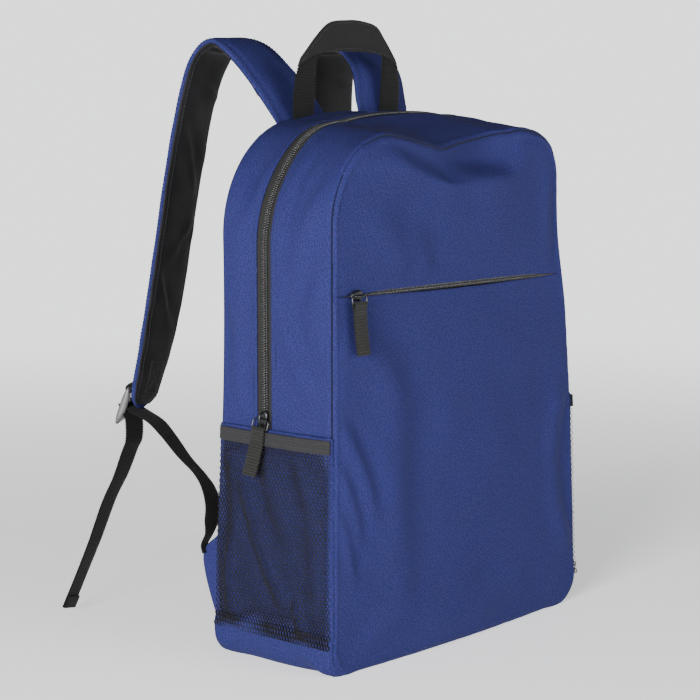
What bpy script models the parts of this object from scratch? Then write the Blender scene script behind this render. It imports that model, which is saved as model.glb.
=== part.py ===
"""School backpack: a soft zipped pack with a front pocket, two mesh side pockets,
a grab handle and two padded shoulder straps. Metres, +Z up.

The pack stands on its bottom panel, whose centre is the origin. The front faces -Y,
the back panel and its straps face +Y, and the wearer's left side is -X.
"""
import math

import bmesh
import bpy
from mathutils import Matrix, Quaternion, Vector

# ---------------------------------------------------------------- driving sizes
WIDTH = 0.300                 # body, side to side
DEPTH = 0.120                 # body, front seam to back seam
FRONT_HEIGHT = 0.402          # corner level of the front seam
BACK_HEIGHT = 0.416           # corner level of the back seam
TOP_CROWN = 0.006             # rise of the top's middle above its corner level
FRONT_TOP_RADIUS = 0.064      # top corners, at the front seam
REAR_TOP_RADIUS = 0.090       # and from the main zip back, where they slope more
BOTTOM_RADIUS = 0.030
FABRIC = 0.0016               # coated polyester with its lining
GAP = 0.0003                  # clearance between neighbouring pieces

ZIP_Y = 0.009                 # main zip's line across the depth
ZIP_END_Z = 0.180             # both ends of the main zip
COIL_WIDTH = 0.0056
COIL_HEIGHT = 0.0024
TAPE_WIDTH = 0.0080
TAPE = 0.0008
ZIP_GAP = 0.0105              # fabric edge to fabric edge over a closed zip
SLIDER_LENGTH = 0.0130
SLIDER_WIDTH = 0.0088
PULL_WIDTH = 0.012
PULL_LENGTH = 0.0355
PULL_THICKNESS = 0.0022
BAIL_LENGTH = 0.0086
MAIN_SLIDER_Z = 0.1905        # parked at the low left end
POCKET_ZIP_Z = 0.287
POCKET_SLIDER_X = -0.1265     # parked at the left end
POCKET_ZIP_HALF = 0.1425

MESH_BOTTOM_Z = 0.024
MESH_TOP_Z = 0.170
ELASTIC_HEIGHT = 0.010
POCKET_MOUTH = 0.0038         # how far a side pocket stands off the side at its mouth
POCKET_BELLY = 0.0045         # and how much further halfway down

HANDLE_X = 0.053              # middle of each handle leg
HANDLE_Y = 0.0575
HANDLE_LEAN = math.radians(4) # forward, so that the fold starts from a natural stand
HANDLE_BAND = 0.025           # webbing width
HANDLE_FOOT_Z = 0.4245
HANDLE_TOP_Z = 0.4945
GRIP_FROM_Z = 0.4685

STRAP_THICKNESS = 0.008
WEBBING = 0.0014
WEBBING_WIDTH = 0.020
LOCK_SIZE = (0.027, 0.034, 0.0044)
LOCK_CENTRE = (0.118, 0.2015, 0.1790)
LOCK_TILT = math.radians(20)
LOCK_TURN = math.radians(35)  # the webbing turns each lock outwards

# Routes of the left side's soft lengths; x is the distance from the middle plane.
STRAP_ROUTE = (
    (0.050, 0.0670, 0.4215), (0.057, 0.0880, 0.4500), (0.064, 0.1100, 0.4720),
    (0.070, 0.1275, 0.4765), (0.076, 0.1410, 0.4620), (0.082, 0.1500, 0.4300),
    (0.089, 0.1570, 0.3800), (0.095, 0.1625, 0.3300), (0.101, 0.1670, 0.2800),
    (0.107, 0.1715, 0.2330), (0.112, 0.1765, 0.2000), (0.115, 0.1810, 0.1830),
)
STRAP_WIDTHS = (0.062, 0.058, 0.054, 0.050, 0.049, 0.049, 0.049, 0.049, 0.048, 0.046, 0.040, 0.022)
STRAP_TWISTS = (0, 0, 1, 3, 6, 9, 10, 10, 10, 11, 13, 15)          # degrees, outer edge forward
ADJUSTER_ROUTE = (
    (0.1180, 0.1830, 0.1735), (0.1210, 0.1610, 0.1680), (0.1250, 0.1410, 0.1580),
    (0.1300, 0.1185, 0.1450), (0.1360, 0.0940, 0.1345), (0.1400, 0.0805, 0.1260),
    (0.1440, 0.0720, 0.1150), (0.1470, 0.0705, 0.1020), (0.1485, 0.0715, 0.0920),
    (0.1490, 0.0765, 0.0830),
)
ADJUSTER_WIDTHS = (0.020, 0.020, 0.020, 0.020, 0.020, 0.020, 0.019, 0.016, 0.010, 0.008)
TAIL_ROUTE = (
    (0.1190, 0.1900, 0.1665), (0.1210, 0.1882, 0.1510), (0.1230, 0.1920, 0.1400),
    (0.1270, 0.1990, 0.1190), (0.1320, 0.2085, 0.0970), (0.1390, 0.2190, 0.0630),
    (0.1470, 0.2295, 0.0305), (0.1550, 0.2365, 0.0050),
)
ANCHOR_ROUTE = ((0.1145, 0.1862, 0.1800), (0.1150, 0.1895, 0.1830), (0.1155, 0.1915, 0.1870))
ANCHOR_WIDTH = 0.014
TAB_OUTLINE = ((0.0623, 0.020), (0.0797, 0.065), (0.0790, 0.077), (0.0623, 0.090))

# ---------------------------------------------------------------- derived sizes
HALF = WIDTH / 2
FRONT_Y = -DEPTH / 2
BACK_Y = DEPTH / 2
SIDES = (("left", -1.0), ("right", 1.0))
ARC_STEPS = 6
CROWN_STEPS = 6


# ---------------------------------------------------------------- scene helpers
def clear_scene():
    for item in list(bpy.data.objects):
        bpy.data.objects.remove(item, do_unlink=True)


def make_material(name, colour, roughness, metallic=0.0):
    material = bpy.data.materials.new(name)
    material.use_nodes = True
    shader = material.node_tree.nodes["Principled BSDF"]
    shader.inputs["Base Color"].default_value = (*colour, 1.0)
    shader.inputs["Roughness"].default_value = roughness
    shader.inputs["Metallic"].default_value = metallic
    material.diffuse_color = (*colour, 1.0)
    return material


def add_object(name, data, look, parent=None):
    """Put one named piece in the pack's collection, its origin at its parent's."""
    piece = bpy.data.objects.new(name, data)
    PACK.objects.link(piece)
    colour, roughness, metallic = LOOKS[look]
    data.materials.append(make_material(name, colour, roughness, metallic))
    if parent is not None:
        piece.parent = parent
    return piece


def add_pivot(name, place, parent=None):
    """An empty on a joint's axis; the joint's pieces are its children."""
    pivot = bpy.data.objects.new(name, None)
    pivot.location = Vector(place) - (pivot_place(parent) if parent else Vector())
    pivot.parent = parent
    PACK.objects.link(pivot)
    return pivot


def pivot_place(pivot):
    """World place of a pivot, which is only ever moved, never turned."""
    place = pivot.location.copy()
    while pivot.parent is not None:
        pivot = pivot.parent
        place += pivot.location
    return place


# ---------------------------------------------------------------- shape helpers
def add_sheet(name, columns, rows, point, thickness, look, offset=0.0, parent=None):
    """A sheet with its middle or one face on point(i, j), thickened by Solidify.

    offset -1 thickens against the normal (along i, crossed with along j), 1 along it.
    """
    shift = pivot_place(parent) if parent else Vector()
    mesh = bpy.data.meshes.new(name)
    grid = bmesh.new()
    bmesh.ops.create_grid(grid, x_segments=columns - 1, y_segments=rows - 1, size=0.5)
    for vert in grid.verts:
        i = round((vert.co.x + 0.5) * (columns - 1))
        j = round((vert.co.y + 0.5) * (rows - 1))
        vert.co = Vector(point(i, j)) - shift
    grid.to_mesh(mesh)
    grid.free()
    mesh.shade_smooth()
    piece = add_object(name, mesh, look, parent)
    shell = piece.modifiers.new("thickness", "SOLIDIFY")
    shell.thickness = thickness
    shell.offset = offset
    shell.use_even_offset = True
    return piece


def add_plate(name, outlines, thickness, look, matrix, parent=None):
    """A flat plate: the first outline is its edge, any others are holes through it."""
    curve = bpy.data.curves.new(name, "CURVE")
    curve.dimensions = "2D"
    curve.fill_mode = "BOTH"
    curve.extrude = thickness / 2
    for outline in outlines:
        spline = curve.splines.new("POLY")
        spline.points.add(len(outline) - 1)
        spline.use_cyclic_u = True
        for spot, (x, y) in zip(spline.points, outline):
            spot.co = (x, y, 0.0, 1.0)
    piece = add_object(name, curve, look, parent)
    shift = Matrix.Translation(-pivot_place(parent)) if parent else Matrix()
    piece.matrix_local = shift @ matrix
    return piece


def add_wire(name, points, radius, look, cyclic, parent=None, sides=2):
    """A round wire, rod or rolled edge along points."""
    shift = pivot_place(parent) if parent else Vector()
    curve = bpy.data.curves.new(name, "CURVE")
    curve.dimensions = "3D"
    curve.bevel_depth = radius
    curve.bevel_resolution = sides
    curve.use_fill_caps = not cyclic
    spline = curve.splines.new("POLY")
    spline.points.add(len(points) - 1)
    spline.use_cyclic_u = cyclic
    for spot, place in zip(spline.points, points):
        spot.co = (*(Vector(place) - shift), 1.0)
    return add_object(name, curve, look, parent)


def add_block(name, size, centre, look, parent=None, bevel=0.0004):
    """A small moulded block with eased edges."""
    shift = pivot_place(parent) if parent else Vector()
    mesh = bpy.data.meshes.new(name)
    block = bmesh.new()
    bmesh.ops.create_cube(block, size=1.0)
    bmesh.ops.scale(block, vec=size, verts=block.verts)
    block.to_mesh(mesh)
    block.free()
    piece = add_object(name, mesh, look, parent)
    piece.location = Vector(centre) - shift
    edge = piece.modifiers.new("edge", "BEVEL")
    edge.width = bevel
    edge.segments = 1
    return piece


def smooth_route(points, per_span=3):
    """A smooth curve through a route's points (Catmull-Rom), per_span steps a span."""
    points = [Vector(p) for p in points]
    padded = [2 * points[0] - points[1], *points, 2 * points[-1] - points[-2]]
    route = []
    for a, b, c, d in zip(padded, padded[1:], padded[2:], padded[3:]):
        for step in range(per_span):
            t = step / per_span
            route.append(0.5 * ((2 * b) + (c - a) * t + (2 * a - 5 * b + 4 * c - d) * t * t
                                + (3 * b - a - 3 * c + d) * t ** 3))
    route.append(points[-1])
    return route


def spread(values, count):
    """values read evenly at count places."""
    spots = []
    for k in range(count):
        t = k / (count - 1) * (len(values) - 1)
        low = min(int(t), len(values) - 2)
        spots.append(values[low] + (values[low + 1] - values[low]) * (t - low))
    return spots


def add_band(name, route, widths, thickness, look, lift=0.0, twists=(0, 0), parent=None,
             per_span=3):
    """A flat band along a route, its width across the body, lifted off its route.

    lift is measured along the band's outer normal, so bands can lie on one another, and
    twists turns the band about its own length, in degrees.
    """
    spine = smooth_route(route, per_span)
    widths = spread(widths, len(spine))
    twists = spread(twists, len(spine))

    def point(i, j):
        ahead = spine[min(j + 1, len(spine) - 1)]
        behind = spine[max(j - 1, 0)]
        along = (ahead - behind).normalized()
        across = (Vector((1, 0, 0)) - along * along.x).normalized()
        across.rotate(Quaternion(along, math.radians(twists[j])))
        outward = across.cross(along)
        return spine[j] + across * (i - 0.5) * widths[j] + outward * lift

    return add_sheet(name, 2, len(spine), point, thickness, look, parent=parent)


# ---------------------------------------------------------------- body outlines
def height_at(y):
    """Corner level of the top at a depth: it rises from the front to the back seam."""
    return FRONT_HEIGHT + (BACK_HEIGHT - FRONT_HEIGHT) * (y - FRONT_Y) / DEPTH


def top_radius_at(y):
    """Radius of the top corners at a depth."""
    back = min(max((y - FRONT_Y) / (ZIP_Y - FRONT_Y), 0.0), 1.0)
    return FRONT_TOP_RADIUS + (REAR_TOP_RADIUS - FRONT_TOP_RADIUS) * back


def arch(y, inset, low_z):
    """Outline over the top, from the left side's low_z to the right side's."""
    level, corner = height_at(y), top_radius_at(y)
    radius, flat = corner - inset, HALF - corner
    half = []
    for k in range(CROWN_STEPS // 2):
        x = flat * k / (CROWN_STEPS // 2)
        half.append((x, level - inset + TOP_CROWN * (1 - (x / flat) ** 2)))
    for k in range(ARC_STEPS + 1):
        angle = math.radians(90 - 90 * k / ARC_STEPS)
        half.append((flat + radius * math.cos(angle), level - corner + radius * math.sin(angle)))
    half.append((HALF - inset, low_z))
    left = [(-x, z) for x, z in reversed(half[1:])]
    return [(x, y, z) for x, z in left + half]


def cradle(y, inset, high_z):
    """Outline under the bottom, from the right side's high_z to the left side's."""
    radius = BOTTOM_RADIUS - inset
    half = []
    for k in range(ARC_STEPS + 1):
        angle = math.radians(-90 + 90 * k / ARC_STEPS)
        half.append((HALF - BOTTOM_RADIUS + radius * math.cos(angle),
                     BOTTOM_RADIUS + radius * math.sin(angle)))
    half.append((HALF - inset, high_z))
    right = list(reversed(half))
    return [(x, y, z) for x, z in right + [(-x, z) for x, z in half]]


def half_width(z, height, corner, inset=0.0):
    """Half the body's width at a level of a panel with top corners of a given radius."""
    width = HALF - inset
    drop_top = z - (height - corner)
    drop_bottom = BOTTOM_RADIUS - z
    if drop_top > 0:
        radius = corner - inset
        width = HALF - corner + math.sqrt(max(radius ** 2 - drop_top ** 2, 0.0))
    elif drop_bottom > 0:
        radius = BOTTOM_RADIUS - inset
        width = HALF - BOTTOM_RADIUS + math.sqrt(max(radius ** 2 - drop_bottom ** 2, 0.0))
    return width


def panel_levels(low, high, height, corner, inset=0.0):
    """Rows of a front or back panel: close together round its corners."""
    top, bottom = height - corner, BOTTOM_RADIUS
    rows = {low, high}
    for k in range(ARC_STEPS + 1):
        angle = math.radians(90 * k / ARC_STEPS)
        rows.add(top + (corner - inset) * math.sin(angle))
        rows.add(bottom - (BOTTOM_RADIUS - inset) * math.sin(angle))
    rows = sorted(z for z in rows if low <= z <= high)
    middle = [z for z in (bottom + (top - bottom) * k / 5 for k in range(1, 5)) if low < z < high]
    return sorted(set(rows + middle))


def add_panel(name, y, low, high, height, thickness, look, inset=0.0, bulge=0.0,
              outward=1.0, columns=9):
    """A front or back panel between two levels; its inner or outer face lies on y."""
    corner = top_radius_at(y)
    levels = panel_levels(low, high, height, corner, inset)

    def point(i, j):
        z = levels[j]
        u = 2 * i / (columns - 1) - 1
        x = u * half_width(z, height, corner, inset)
        crown = TOP_CROWN * (1 - min(abs(x) / (HALF - corner), 1) ** 2)
        rise = max(z - (height - corner), 0) / corner
        fullness = (1 - u ** 4) * math.sin(math.pi * (z - low) / (high - low)) ** 0.8
        return (x, y - bulge * fullness, z + crown * min(rise, 1.0) ** 2)

    return add_sheet(name, columns, len(levels), point, thickness, look, offset=outward)


# ---------------------------------------------------------------- body
def make_front():
    gap = ZIP_GAP / 2
    add_panel("front_panel_upper", FRONT_Y, POCKET_ZIP_Z + gap, FRONT_HEIGHT, FRONT_HEIGHT,
              FABRIC, "navy", bulge=0.006)
    add_panel("front_panel_lower", FRONT_Y, 0.0, POCKET_ZIP_Z - gap, FRONT_HEIGHT,
              FABRIC, "navy", bulge=0.012)
    inset = FABRIC + 3 * GAP
    add_panel("front_pocket_wall", FRONT_Y + 0.0065, inset, 0.305, FRONT_HEIGHT,
              TAPE, "lining", inset=inset, outward=-1.0)


def make_back():
    inset = FABRIC + 3 * GAP
    cover = BACK_Y + GAP
    add_panel("back_panel_cover", cover, 0.0, BACK_HEIGHT, BACK_HEIGHT, FABRIC, "black",
              outward=-1.0, columns=7)
    foam = 0.005
    add_panel("back_foam", BACK_Y - GAP, inset, BACK_HEIGHT - inset, BACK_HEIGHT, foam, "foam",
              inset=inset, columns=7)
    add_panel("back_lining", BACK_Y - foam - 2 * GAP, inset, BACK_HEIGHT - inset, BACK_HEIGHT,
              TAPE, "lining", inset=inset, columns=7)


def add_strip(name, outline, from_y, to_y, thickness, look, inset=0.0):
    """A strip of the body's wall between two depths, along an outline, outer face out."""
    ys = [from_y, (from_y + to_y) / 2, to_y] if to_y - from_y > 0.03 else [from_y, to_y]
    lines = [outline(y, inset) for y in ys]
    return add_sheet(name, len(lines[0]), len(ys), lambda i, j: lines[j][i], thickness, look,
                     offset=-1.0)


def over_top(y, inset):
    return arch(y, inset, ZIP_END_Z + GAP)


def under_bottom(y, inset):
    return cradle(y, inset, BOTTOM_RADIUS)[1:-1]


def make_gusset():
    near, far = FRONT_Y + GAP, BACK_Y - GAP
    half_gap = ZIP_GAP / 2
    add_strip("gusset_front", over_top, near, ZIP_Y - half_gap, FABRIC, "navy")
    add_strip("gusset_rear", over_top, ZIP_Y + half_gap, far, FABRIC, "navy")
    add_strip("bottom_panel", under_bottom, near, far, FABRIC, "navy")
    low, high = BOTTOM_RADIUS + GAP, ZIP_END_Z - GAP
    for side, sign in SIDES:
        def wall(y, inset, sign=sign):
            ends = [(sign * (HALF - inset), y, low), (sign * (HALF - inset), y, high)]
            return ends if sign < 0 else ends[::-1]
        add_strip(f"side_panel_{side}", wall, near, far, FABRIC, "navy")


def seam_ring(y, height, inset):
    """The closed inside line of a panel's seam, for its binding tape."""
    top = [(x, z) for x, _, z in arch(y, inset, 0.2)]
    bottom = [(x, z) for x, _, z in cradle(y, inset, 0.2)][1:-1]
    return [(x, y, z) for x, z in top + bottom]


def make_seam_bindings():
    radius = 0.0018
    inset = FABRIC + radius + 3 * GAP
    for name, y in (("front_seam_binding", FRONT_Y + 0.0037), ("back_seam_binding", BACK_Y - 0.0095)):
        add_wire(name, seam_ring(y, height_at(y), inset), radius, "black", True, sides=1)


# ---------------------------------------------------------------- zips
def make_main_zip():
    half_coil = COIL_WIDTH / 2
    under = FABRIC + GAP
    front_edge = ZIP_Y - half_coil - GAP
    rear_edge = ZIP_Y + half_coil + GAP
    add_strip("main_zip_tape_front", over_top, front_edge - TAPE_WIDTH, front_edge, TAPE, "black",
              inset=under)
    add_strip("main_zip_tape_rear", over_top, rear_edge, rear_edge + TAPE_WIDTH, TAPE, "black",
              inset=under)
    stop_height = 0.0032

    def coil_line(y, inset):
        return arch(y, inset, ZIP_END_Z + stop_height + 2 * GAP)

    add_strip("main_zip_coil", coil_line, ZIP_Y - half_coil, ZIP_Y + half_coil, COIL_HEIGHT,
              "coil", inset=GAP)
    for side, sign in SIDES:
        depth = COIL_HEIGHT
        centre = (sign * (HALF - GAP - depth / 2), ZIP_Y, ZIP_END_Z + GAP + stop_height / 2)
        add_block(f"main_zip_stop_{side}", (depth, COIL_WIDTH, stop_height), centre, "metal")


def make_pocket_zip():
    half_coil = COIL_WIDTH / 2
    behind = FRONT_Y + GAP + TAPE / 2
    middle_y = FRONT_Y - COIL_HEIGHT / 2 + GAP
    for name, sign in (("upper", 1), ("lower", -1)):
        edge = POCKET_ZIP_Z + sign * (half_coil + GAP + TAPE_WIDTH / 2)
        add_block(f"pocket_zip_tape_{name}", (2 * POCKET_ZIP_HALF + 0.008, TAPE, TAPE_WIDTH),
                  (0.0, behind, edge), "black", bevel=0.0001)
    stop = 0.0032
    add_block("pocket_zip_coil", (2 * (POCKET_ZIP_HALF - stop - GAP), COIL_HEIGHT, COIL_WIDTH),
              (0.0, middle_y, POCKET_ZIP_Z), "coil", bevel=0.0005)
    for side, sign in SIDES:
        add_block(f"pocket_zip_stop_{side}", (stop, COIL_HEIGHT, COIL_WIDTH),
                  (sign * (POCKET_ZIP_HALF - stop / 2), middle_y, POCKET_ZIP_Z), "metal")


def round_loop(width, height, radius, steps=3):
    """A closed round-cornered loop in its own plane, from its top bar's middle."""
    points = []
    for quarter, (sx, sy) in enumerate(((1, 1), (1, -1), (-1, -1), (-1, 1))):
        for k in range(steps + 1):
            angle = math.radians(90 - 90 * quarter - 90 * k / steps)
            points.append((sx * (width / 2 - radius) + radius * math.cos(angle),
                           sy * (height / 2 - radius) + radius * math.sin(angle)))
    return points


def add_slider(name, frame, pull_turn, slot, parent, pull_parent, pivot_rise):
    """A zip slider with its wire bail and webbing pull, hanging at rest.

    frame maps (across the chain, along the chain, out of the chain) to the world,
    pull_turn tips the hanging bail and pull in that frame, and slot is the size of the
    opening in the slider's bridge that the bail's top bar lies in.
    """
    half_w, half_l = SLIDER_WIDTH / 2, SLIDER_LENGTH / 2
    plate_low = GAP + 0.0003
    plate = 0.0014
    lip = 0.0011
    top = plate_low + plate
    drop = -(COIL_HEIGHT - 0.0008)
    section = [(-half_w, drop), (-half_w + lip, drop), (-half_w + lip, plate_low),
               (half_w - lip, plate_low), (half_w - lip, drop), (half_w, drop),
               (half_w, top), (0.0019, top), (0.0012, top + 0.0036), (-0.0012, top + 0.0036),
               (-0.0019, top), (-half_w, top)]
    body = add_profile(f"{name}_zip_slider", section, half_l, "metal", frame, parent)
    cut_bridge(body, name, frame, slot, pivot_rise)
    wire = 0.0006
    loop_width, loop_height = SLIDER_LENGTH + 0.0038, BAIL_LENGTH
    bail = [(x, y - loop_height / 2, 0.0) for x, y in
            round_loop(loop_width, loop_height, 0.0016)]
    turned = [frame @ (Vector((0, 0, pivot_rise)) + pull_turn @ Vector(p)) for p in bail]
    add_wire(f"{name}_slider_bail", turned, wire, "metal", True, pull_parent, sides=1)
    add_pull(f"{name}_pull_tab", loop_height, wire, frame, pull_turn, pull_parent, pivot_rise)


def add_profile(name, section, half_length, look, frame, parent):
    """A section in (across, out) run along the chain by twice half_length."""
    curve_frame = frame @ Matrix(((1, 0, 0, 0), (0, 0, -1, 0), (0, 1, 0, 0), (0, 0, 0, 1)))
    return add_plate(name, [section], 2 * half_length, look, curve_frame, parent)


def cut_bridge(body, name, frame, slot_size, pivot_rise):
    """Open the slider's bridge for the bail's top bar."""
    slot = bmesh.new()
    bmesh.ops.create_cube(slot, size=1.0)
    bmesh.ops.scale(slot, vec=slot_size, verts=slot.verts)
    bmesh.ops.translate(slot, vec=(0, 0, pivot_rise), verts=slot.verts)
    bmesh.ops.transform(slot, matrix=frame, verts=slot.verts)
    mesh = bpy.data.meshes.new(f"{name}_bridge_slot")
    slot.to_mesh(mesh)
    slot.free()
    cutter = bpy.data.objects.new(mesh.name, mesh)
    CUTTERS.objects.link(cutter)
    cutter.hide_render = True
    cutter.display_type = "WIRE"
    solid = as_mesh(body)
    cut = solid.modifiers.new("bridge", "BOOLEAN")
    cut.operation = "DIFFERENCE"
    cut.object = cutter


def as_mesh(piece):
    """Replace a curve piece by its own closed mesh, so that it can be cut."""
    bpy.context.view_layer.update()
    graph = bpy.context.evaluated_depsgraph_get()
    mesh = bpy.data.meshes.new_from_object(piece.evaluated_get(graph))
    weld = bmesh.new()
    weld.from_mesh(mesh)
    bmesh.ops.remove_doubles(weld, verts=weld.verts, dist=1e-6)
    weld.to_mesh(mesh)
    weld.free()
    name, parent, matrix = piece.name, piece.parent, piece.matrix_world.copy()
    curve = piece.data
    bpy.data.objects.remove(piece, do_unlink=True)
    bpy.data.curves.remove(curve)
    solid = bpy.data.objects.new(name, mesh)
    PACK.objects.link(solid)
    solid.parent = parent
    bpy.context.view_layer.update()
    solid.matrix_world = matrix
    return solid


def add_pull(name, loop_height, wire, frame, pull_turn, parent, pivot_rise):
    """A webbing pull folded round the bail's low bar and sewn to itself."""
    thick = PULL_THICKNESS
    bore = wire + 0.0005
    eye = bore + 0.0010
    bar = -loop_height
    outline = []
    for k in range(9):
        angle = math.radians(-30 + 240 * k / 8)
        outline.append((eye * math.cos(angle), bar + eye * math.sin(angle)))
    outline += [(-thick / 2, bar - 0.004), (-thick / 2, bar - PULL_LENGTH),
                (thick / 2, bar - PULL_LENGTH), (thick / 2, bar - 0.004)]
    hole = [(bore * math.cos(math.radians(60 * k)), bar + bore * math.sin(math.radians(60 * k)))
            for k in range(6)]
    turn = Matrix.Translation((0, 0, pivot_rise)) @ pull_turn.to_4x4()
    sideways = Matrix(((0, 0, 1, 0), (0, 1, 0, 0), (1, 0, 0, 0), (0, 0, 0, 1)))
    add_plate(name, [outline, hole], PULL_WIDTH, "black", frame @ turn @ sideways, parent)


def frame_matrix(across, along, out, place):
    rows = [(across[k], along[k], out[k], place[k]) for k in range(3)]
    return Matrix((*rows, (0, 0, 0, 1)))


def make_sliders():
    rise = 0.0038
    place = (-(HALF - GAP), ZIP_Y, MAIN_SLIDER_Z)
    slider = add_pivot("main_zip_slide", place)
    pull = add_pivot("main_pull_swing", (place[0] - rise, ZIP_Y, MAIN_SLIDER_Z), slider)
    frame = frame_matrix((0, -1, 0), (0, 0, 1), (-1, 0, 0), place)
    lean = Matrix.Rotation(math.radians(-25), 3, "X") @ Matrix.Rotation(math.radians(-2), 3, "Z")
    add_slider("main", frame, lean, (0.02, 0.0034, 0.0020), slider, pull, rise)
    place = (POCKET_SLIDER_X, FRONT_Y - COIL_HEIGHT + GAP, POCKET_ZIP_Z)
    slider = add_pivot("pocket_zip_slide", place)
    pull = add_pivot("pocket_pull_swing", (place[0], place[1] - rise, POCKET_ZIP_Z), slider)
    frame = frame_matrix((0, 0, -1), (1, 0, 0), (0, -1, 0), place)
    hang = Matrix.Rotation(math.radians(90), 3, "Z") @ Matrix.Rotation(math.radians(-6), 3, "X")
    add_slider("pocket", frame, hang, (0.0019, 0.02, 0.0020), slider, pull, rise)


# ---------------------------------------------------------------- side pockets
def make_side_pockets():
    near, far = FRONT_Y + 0.002, BACK_Y - 0.002
    columns = 9
    for side, sign in SIDES:
        def wall(u, z, sign=sign):
            t = min((z - MESH_BOTTOM_Z) / (MESH_TOP_Z - MESH_BOTTOM_Z), 1.0)
            belly = (POCKET_MOUTH + POCKET_BELLY * math.sin(math.pi * t)) * min(5 * t, 1.0)
            stand = 2 * GAP + belly * math.sin(math.pi * u) ** 0.5
            return (sign * (HALF + stand), near + (far - near) * u, z)

        order = (lambda u: u) if sign > 0 else (lambda u: 1 - u)
        rows = 7

        def mesh_point(i, j, wall=wall, order=order):
            z = MESH_BOTTOM_Z + (MESH_TOP_Z - MESH_BOTTOM_Z) * j / (rows - 1)
            return wall(order(i / (columns - 1)), z)

        def elastic_point(i, j, wall=wall, order=order):
            return wall(order(i / (columns - 1)), MESH_TOP_Z + GAP * 2 + ELASTIC_HEIGHT * j)

        add_sheet(f"mesh_pocket_{side}", columns, rows, mesh_point, 0.0010, "mesh", offset=1.0)
        add_sheet(f"elastic_binding_{side}", columns, 2, elastic_point, 0.0014, "elastic",
                  offset=1.0)


# ---------------------------------------------------------------- handle
def make_handle():
    """Webbing legs and a grip of the same webbing, mitred and folded over at the top."""
    foot = Vector((0.0, HANDLE_Y, HANDLE_FOOT_Z))
    pivot = add_pivot("grab_handle_fold", foot)
    outer, inner = HANDLE_X + HANDLE_BAND / 2, HANDLE_X - HANDLE_BAND / 2
    grip_z, top_z = GRIP_FROM_Z - HANDLE_FOOT_Z, HANDLE_TOP_Z - HANDLE_FOOT_Z
    seam_z = grip_z + 0.002
    stand = Matrix.Translation(foot) @ Matrix.Rotation(math.radians(90) + HANDLE_LEAN, 4, "X")
    mitre = [(outer, 0.028), (outer - 0.006, 0.039), (outer - 0.0095, grip_z)]
    right = [(inner, seam_z), (inner, 0.0), (outer, 0.0), *mitre, (outer - 0.014, seam_z + 0.008)]
    legs = right + [(-x, z) for x, z in reversed(right)]
    add_plate("grab_handle_webbing", [legs], 0.0024, "black", stand, pivot)
    half = [(mitre[-1][0] + 0.0005, grip_z), (outer - 0.022, 0.057), (outer - 0.036, top_z - 0.002),
            (0.012, top_z)]
    sleeve = half + [(-x, z) for x, z in reversed(half)]
    for side, lift in (("front", 0.0024), ("rear", -0.0024)):
        face = stand @ Matrix.Translation((0, 0, lift))
        add_plate(f"grab_handle_grip_{side}", [sleeve], 0.0018, "black", face, pivot)


# ---------------------------------------------------------------- straps
def mirrored(route, sign):
    return [(sign * x, y, z) for x, y, z in route]


def make_straps():
    root = Vector(STRAP_ROUTE[0])
    for side, sign in SIDES:
        pivot = add_pivot(f"strap_{side}_swing", (0.0, root.y - 0.003, root.z - 0.003))
        route = mirrored(STRAP_ROUTE, sign)
        lining, cover = 0.0010, 0.0012
        foam = STRAP_THICKNESS - lining - cover - 2 * GAP
        layers = (("lining", lining, lining / 2, "black"),
                  ("foam", foam, lining + GAP + foam / 2, "foam"),
                  ("cover", cover, lining + foam + 2 * GAP + cover / 2, "navy"))
        for layer, thickness, middle, look in layers:
            add_band(f"strap_{side}_{layer}", route, STRAP_WIDTHS, thickness, look,
                     lift=middle - STRAP_THICKNESS / 2, parent=pivot,
                     twists=[sign * twist for twist in STRAP_TWISTS])
        add_band(f"lock_anchor_{side}", mirrored(ANCHOR_ROUTE, sign), (ANCHOR_WIDTH, ANCHOR_WIDTH),
                 WEBBING, "black", parent=pivot, per_span=2,
                 twists=(sign * math.degrees(-LOCK_TURN), sign * math.degrees(-LOCK_TURN)))
        make_lock(side, sign, pivot)
        add_band(f"adjuster_webbing_{side}", mirrored(ADJUSTER_ROUTE, sign), ADJUSTER_WIDTHS,
                 WEBBING, "black", per_span=2)
        make_anchor_tab(side, sign)


def make_lock(side, sign, strap):
    """A ladder lock: a flat frame with two slots, and the webbing's free tail on it."""
    width, length, thickness = LOCK_SIZE
    centre = Vector((sign * LOCK_CENTRE[0], LOCK_CENTRE[1], LOCK_CENTRE[2]))
    upright = (Matrix.Rotation(-sign * LOCK_TURN, 4, "Z")
               @ Matrix.Rotation(math.radians(90) + LOCK_TILT, 4, "X"))
    top_bar = upright @ Vector((0, length / 2 - 0.003, 0))
    pivot = add_pivot(f"lock_{side}_tilt", centre + top_bar, strap)
    edge = round_loop(width, length, 0.004)
    slot_w, slot_h = width - 0.0066, 0.0055
    slots = [[(x, y + shift) for x, y in round_loop(slot_w, slot_h, 0.0008, 1)]
             for shift in (0.0068, -0.0068)]
    add_plate(f"ladder_lock_{side}", [edge, *slots], thickness, "plastic",
              Matrix.Translation(centre) @ upright, pivot)
    add_band(f"webbing_tail_{side}", mirrored(TAIL_ROUTE, sign), (WEBBING_WIDTH, WEBBING_WIDTH),
             WEBBING, "black", parent=pivot, per_span=2)


def make_anchor_tab(side, sign):
    """The folded fabric tab in the low back seam that holds the webbing's end."""
    upright = Matrix(((0, 0, 1, sign * (HALF - 0.0022)), (1, 0, 0, 0), (0, 1, 0, 0), (0, 0, 0, 1)))
    add_plate(f"anchor_tab_{side}", [TAB_OUTLINE], 0.0030, "navy", upright)


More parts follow.
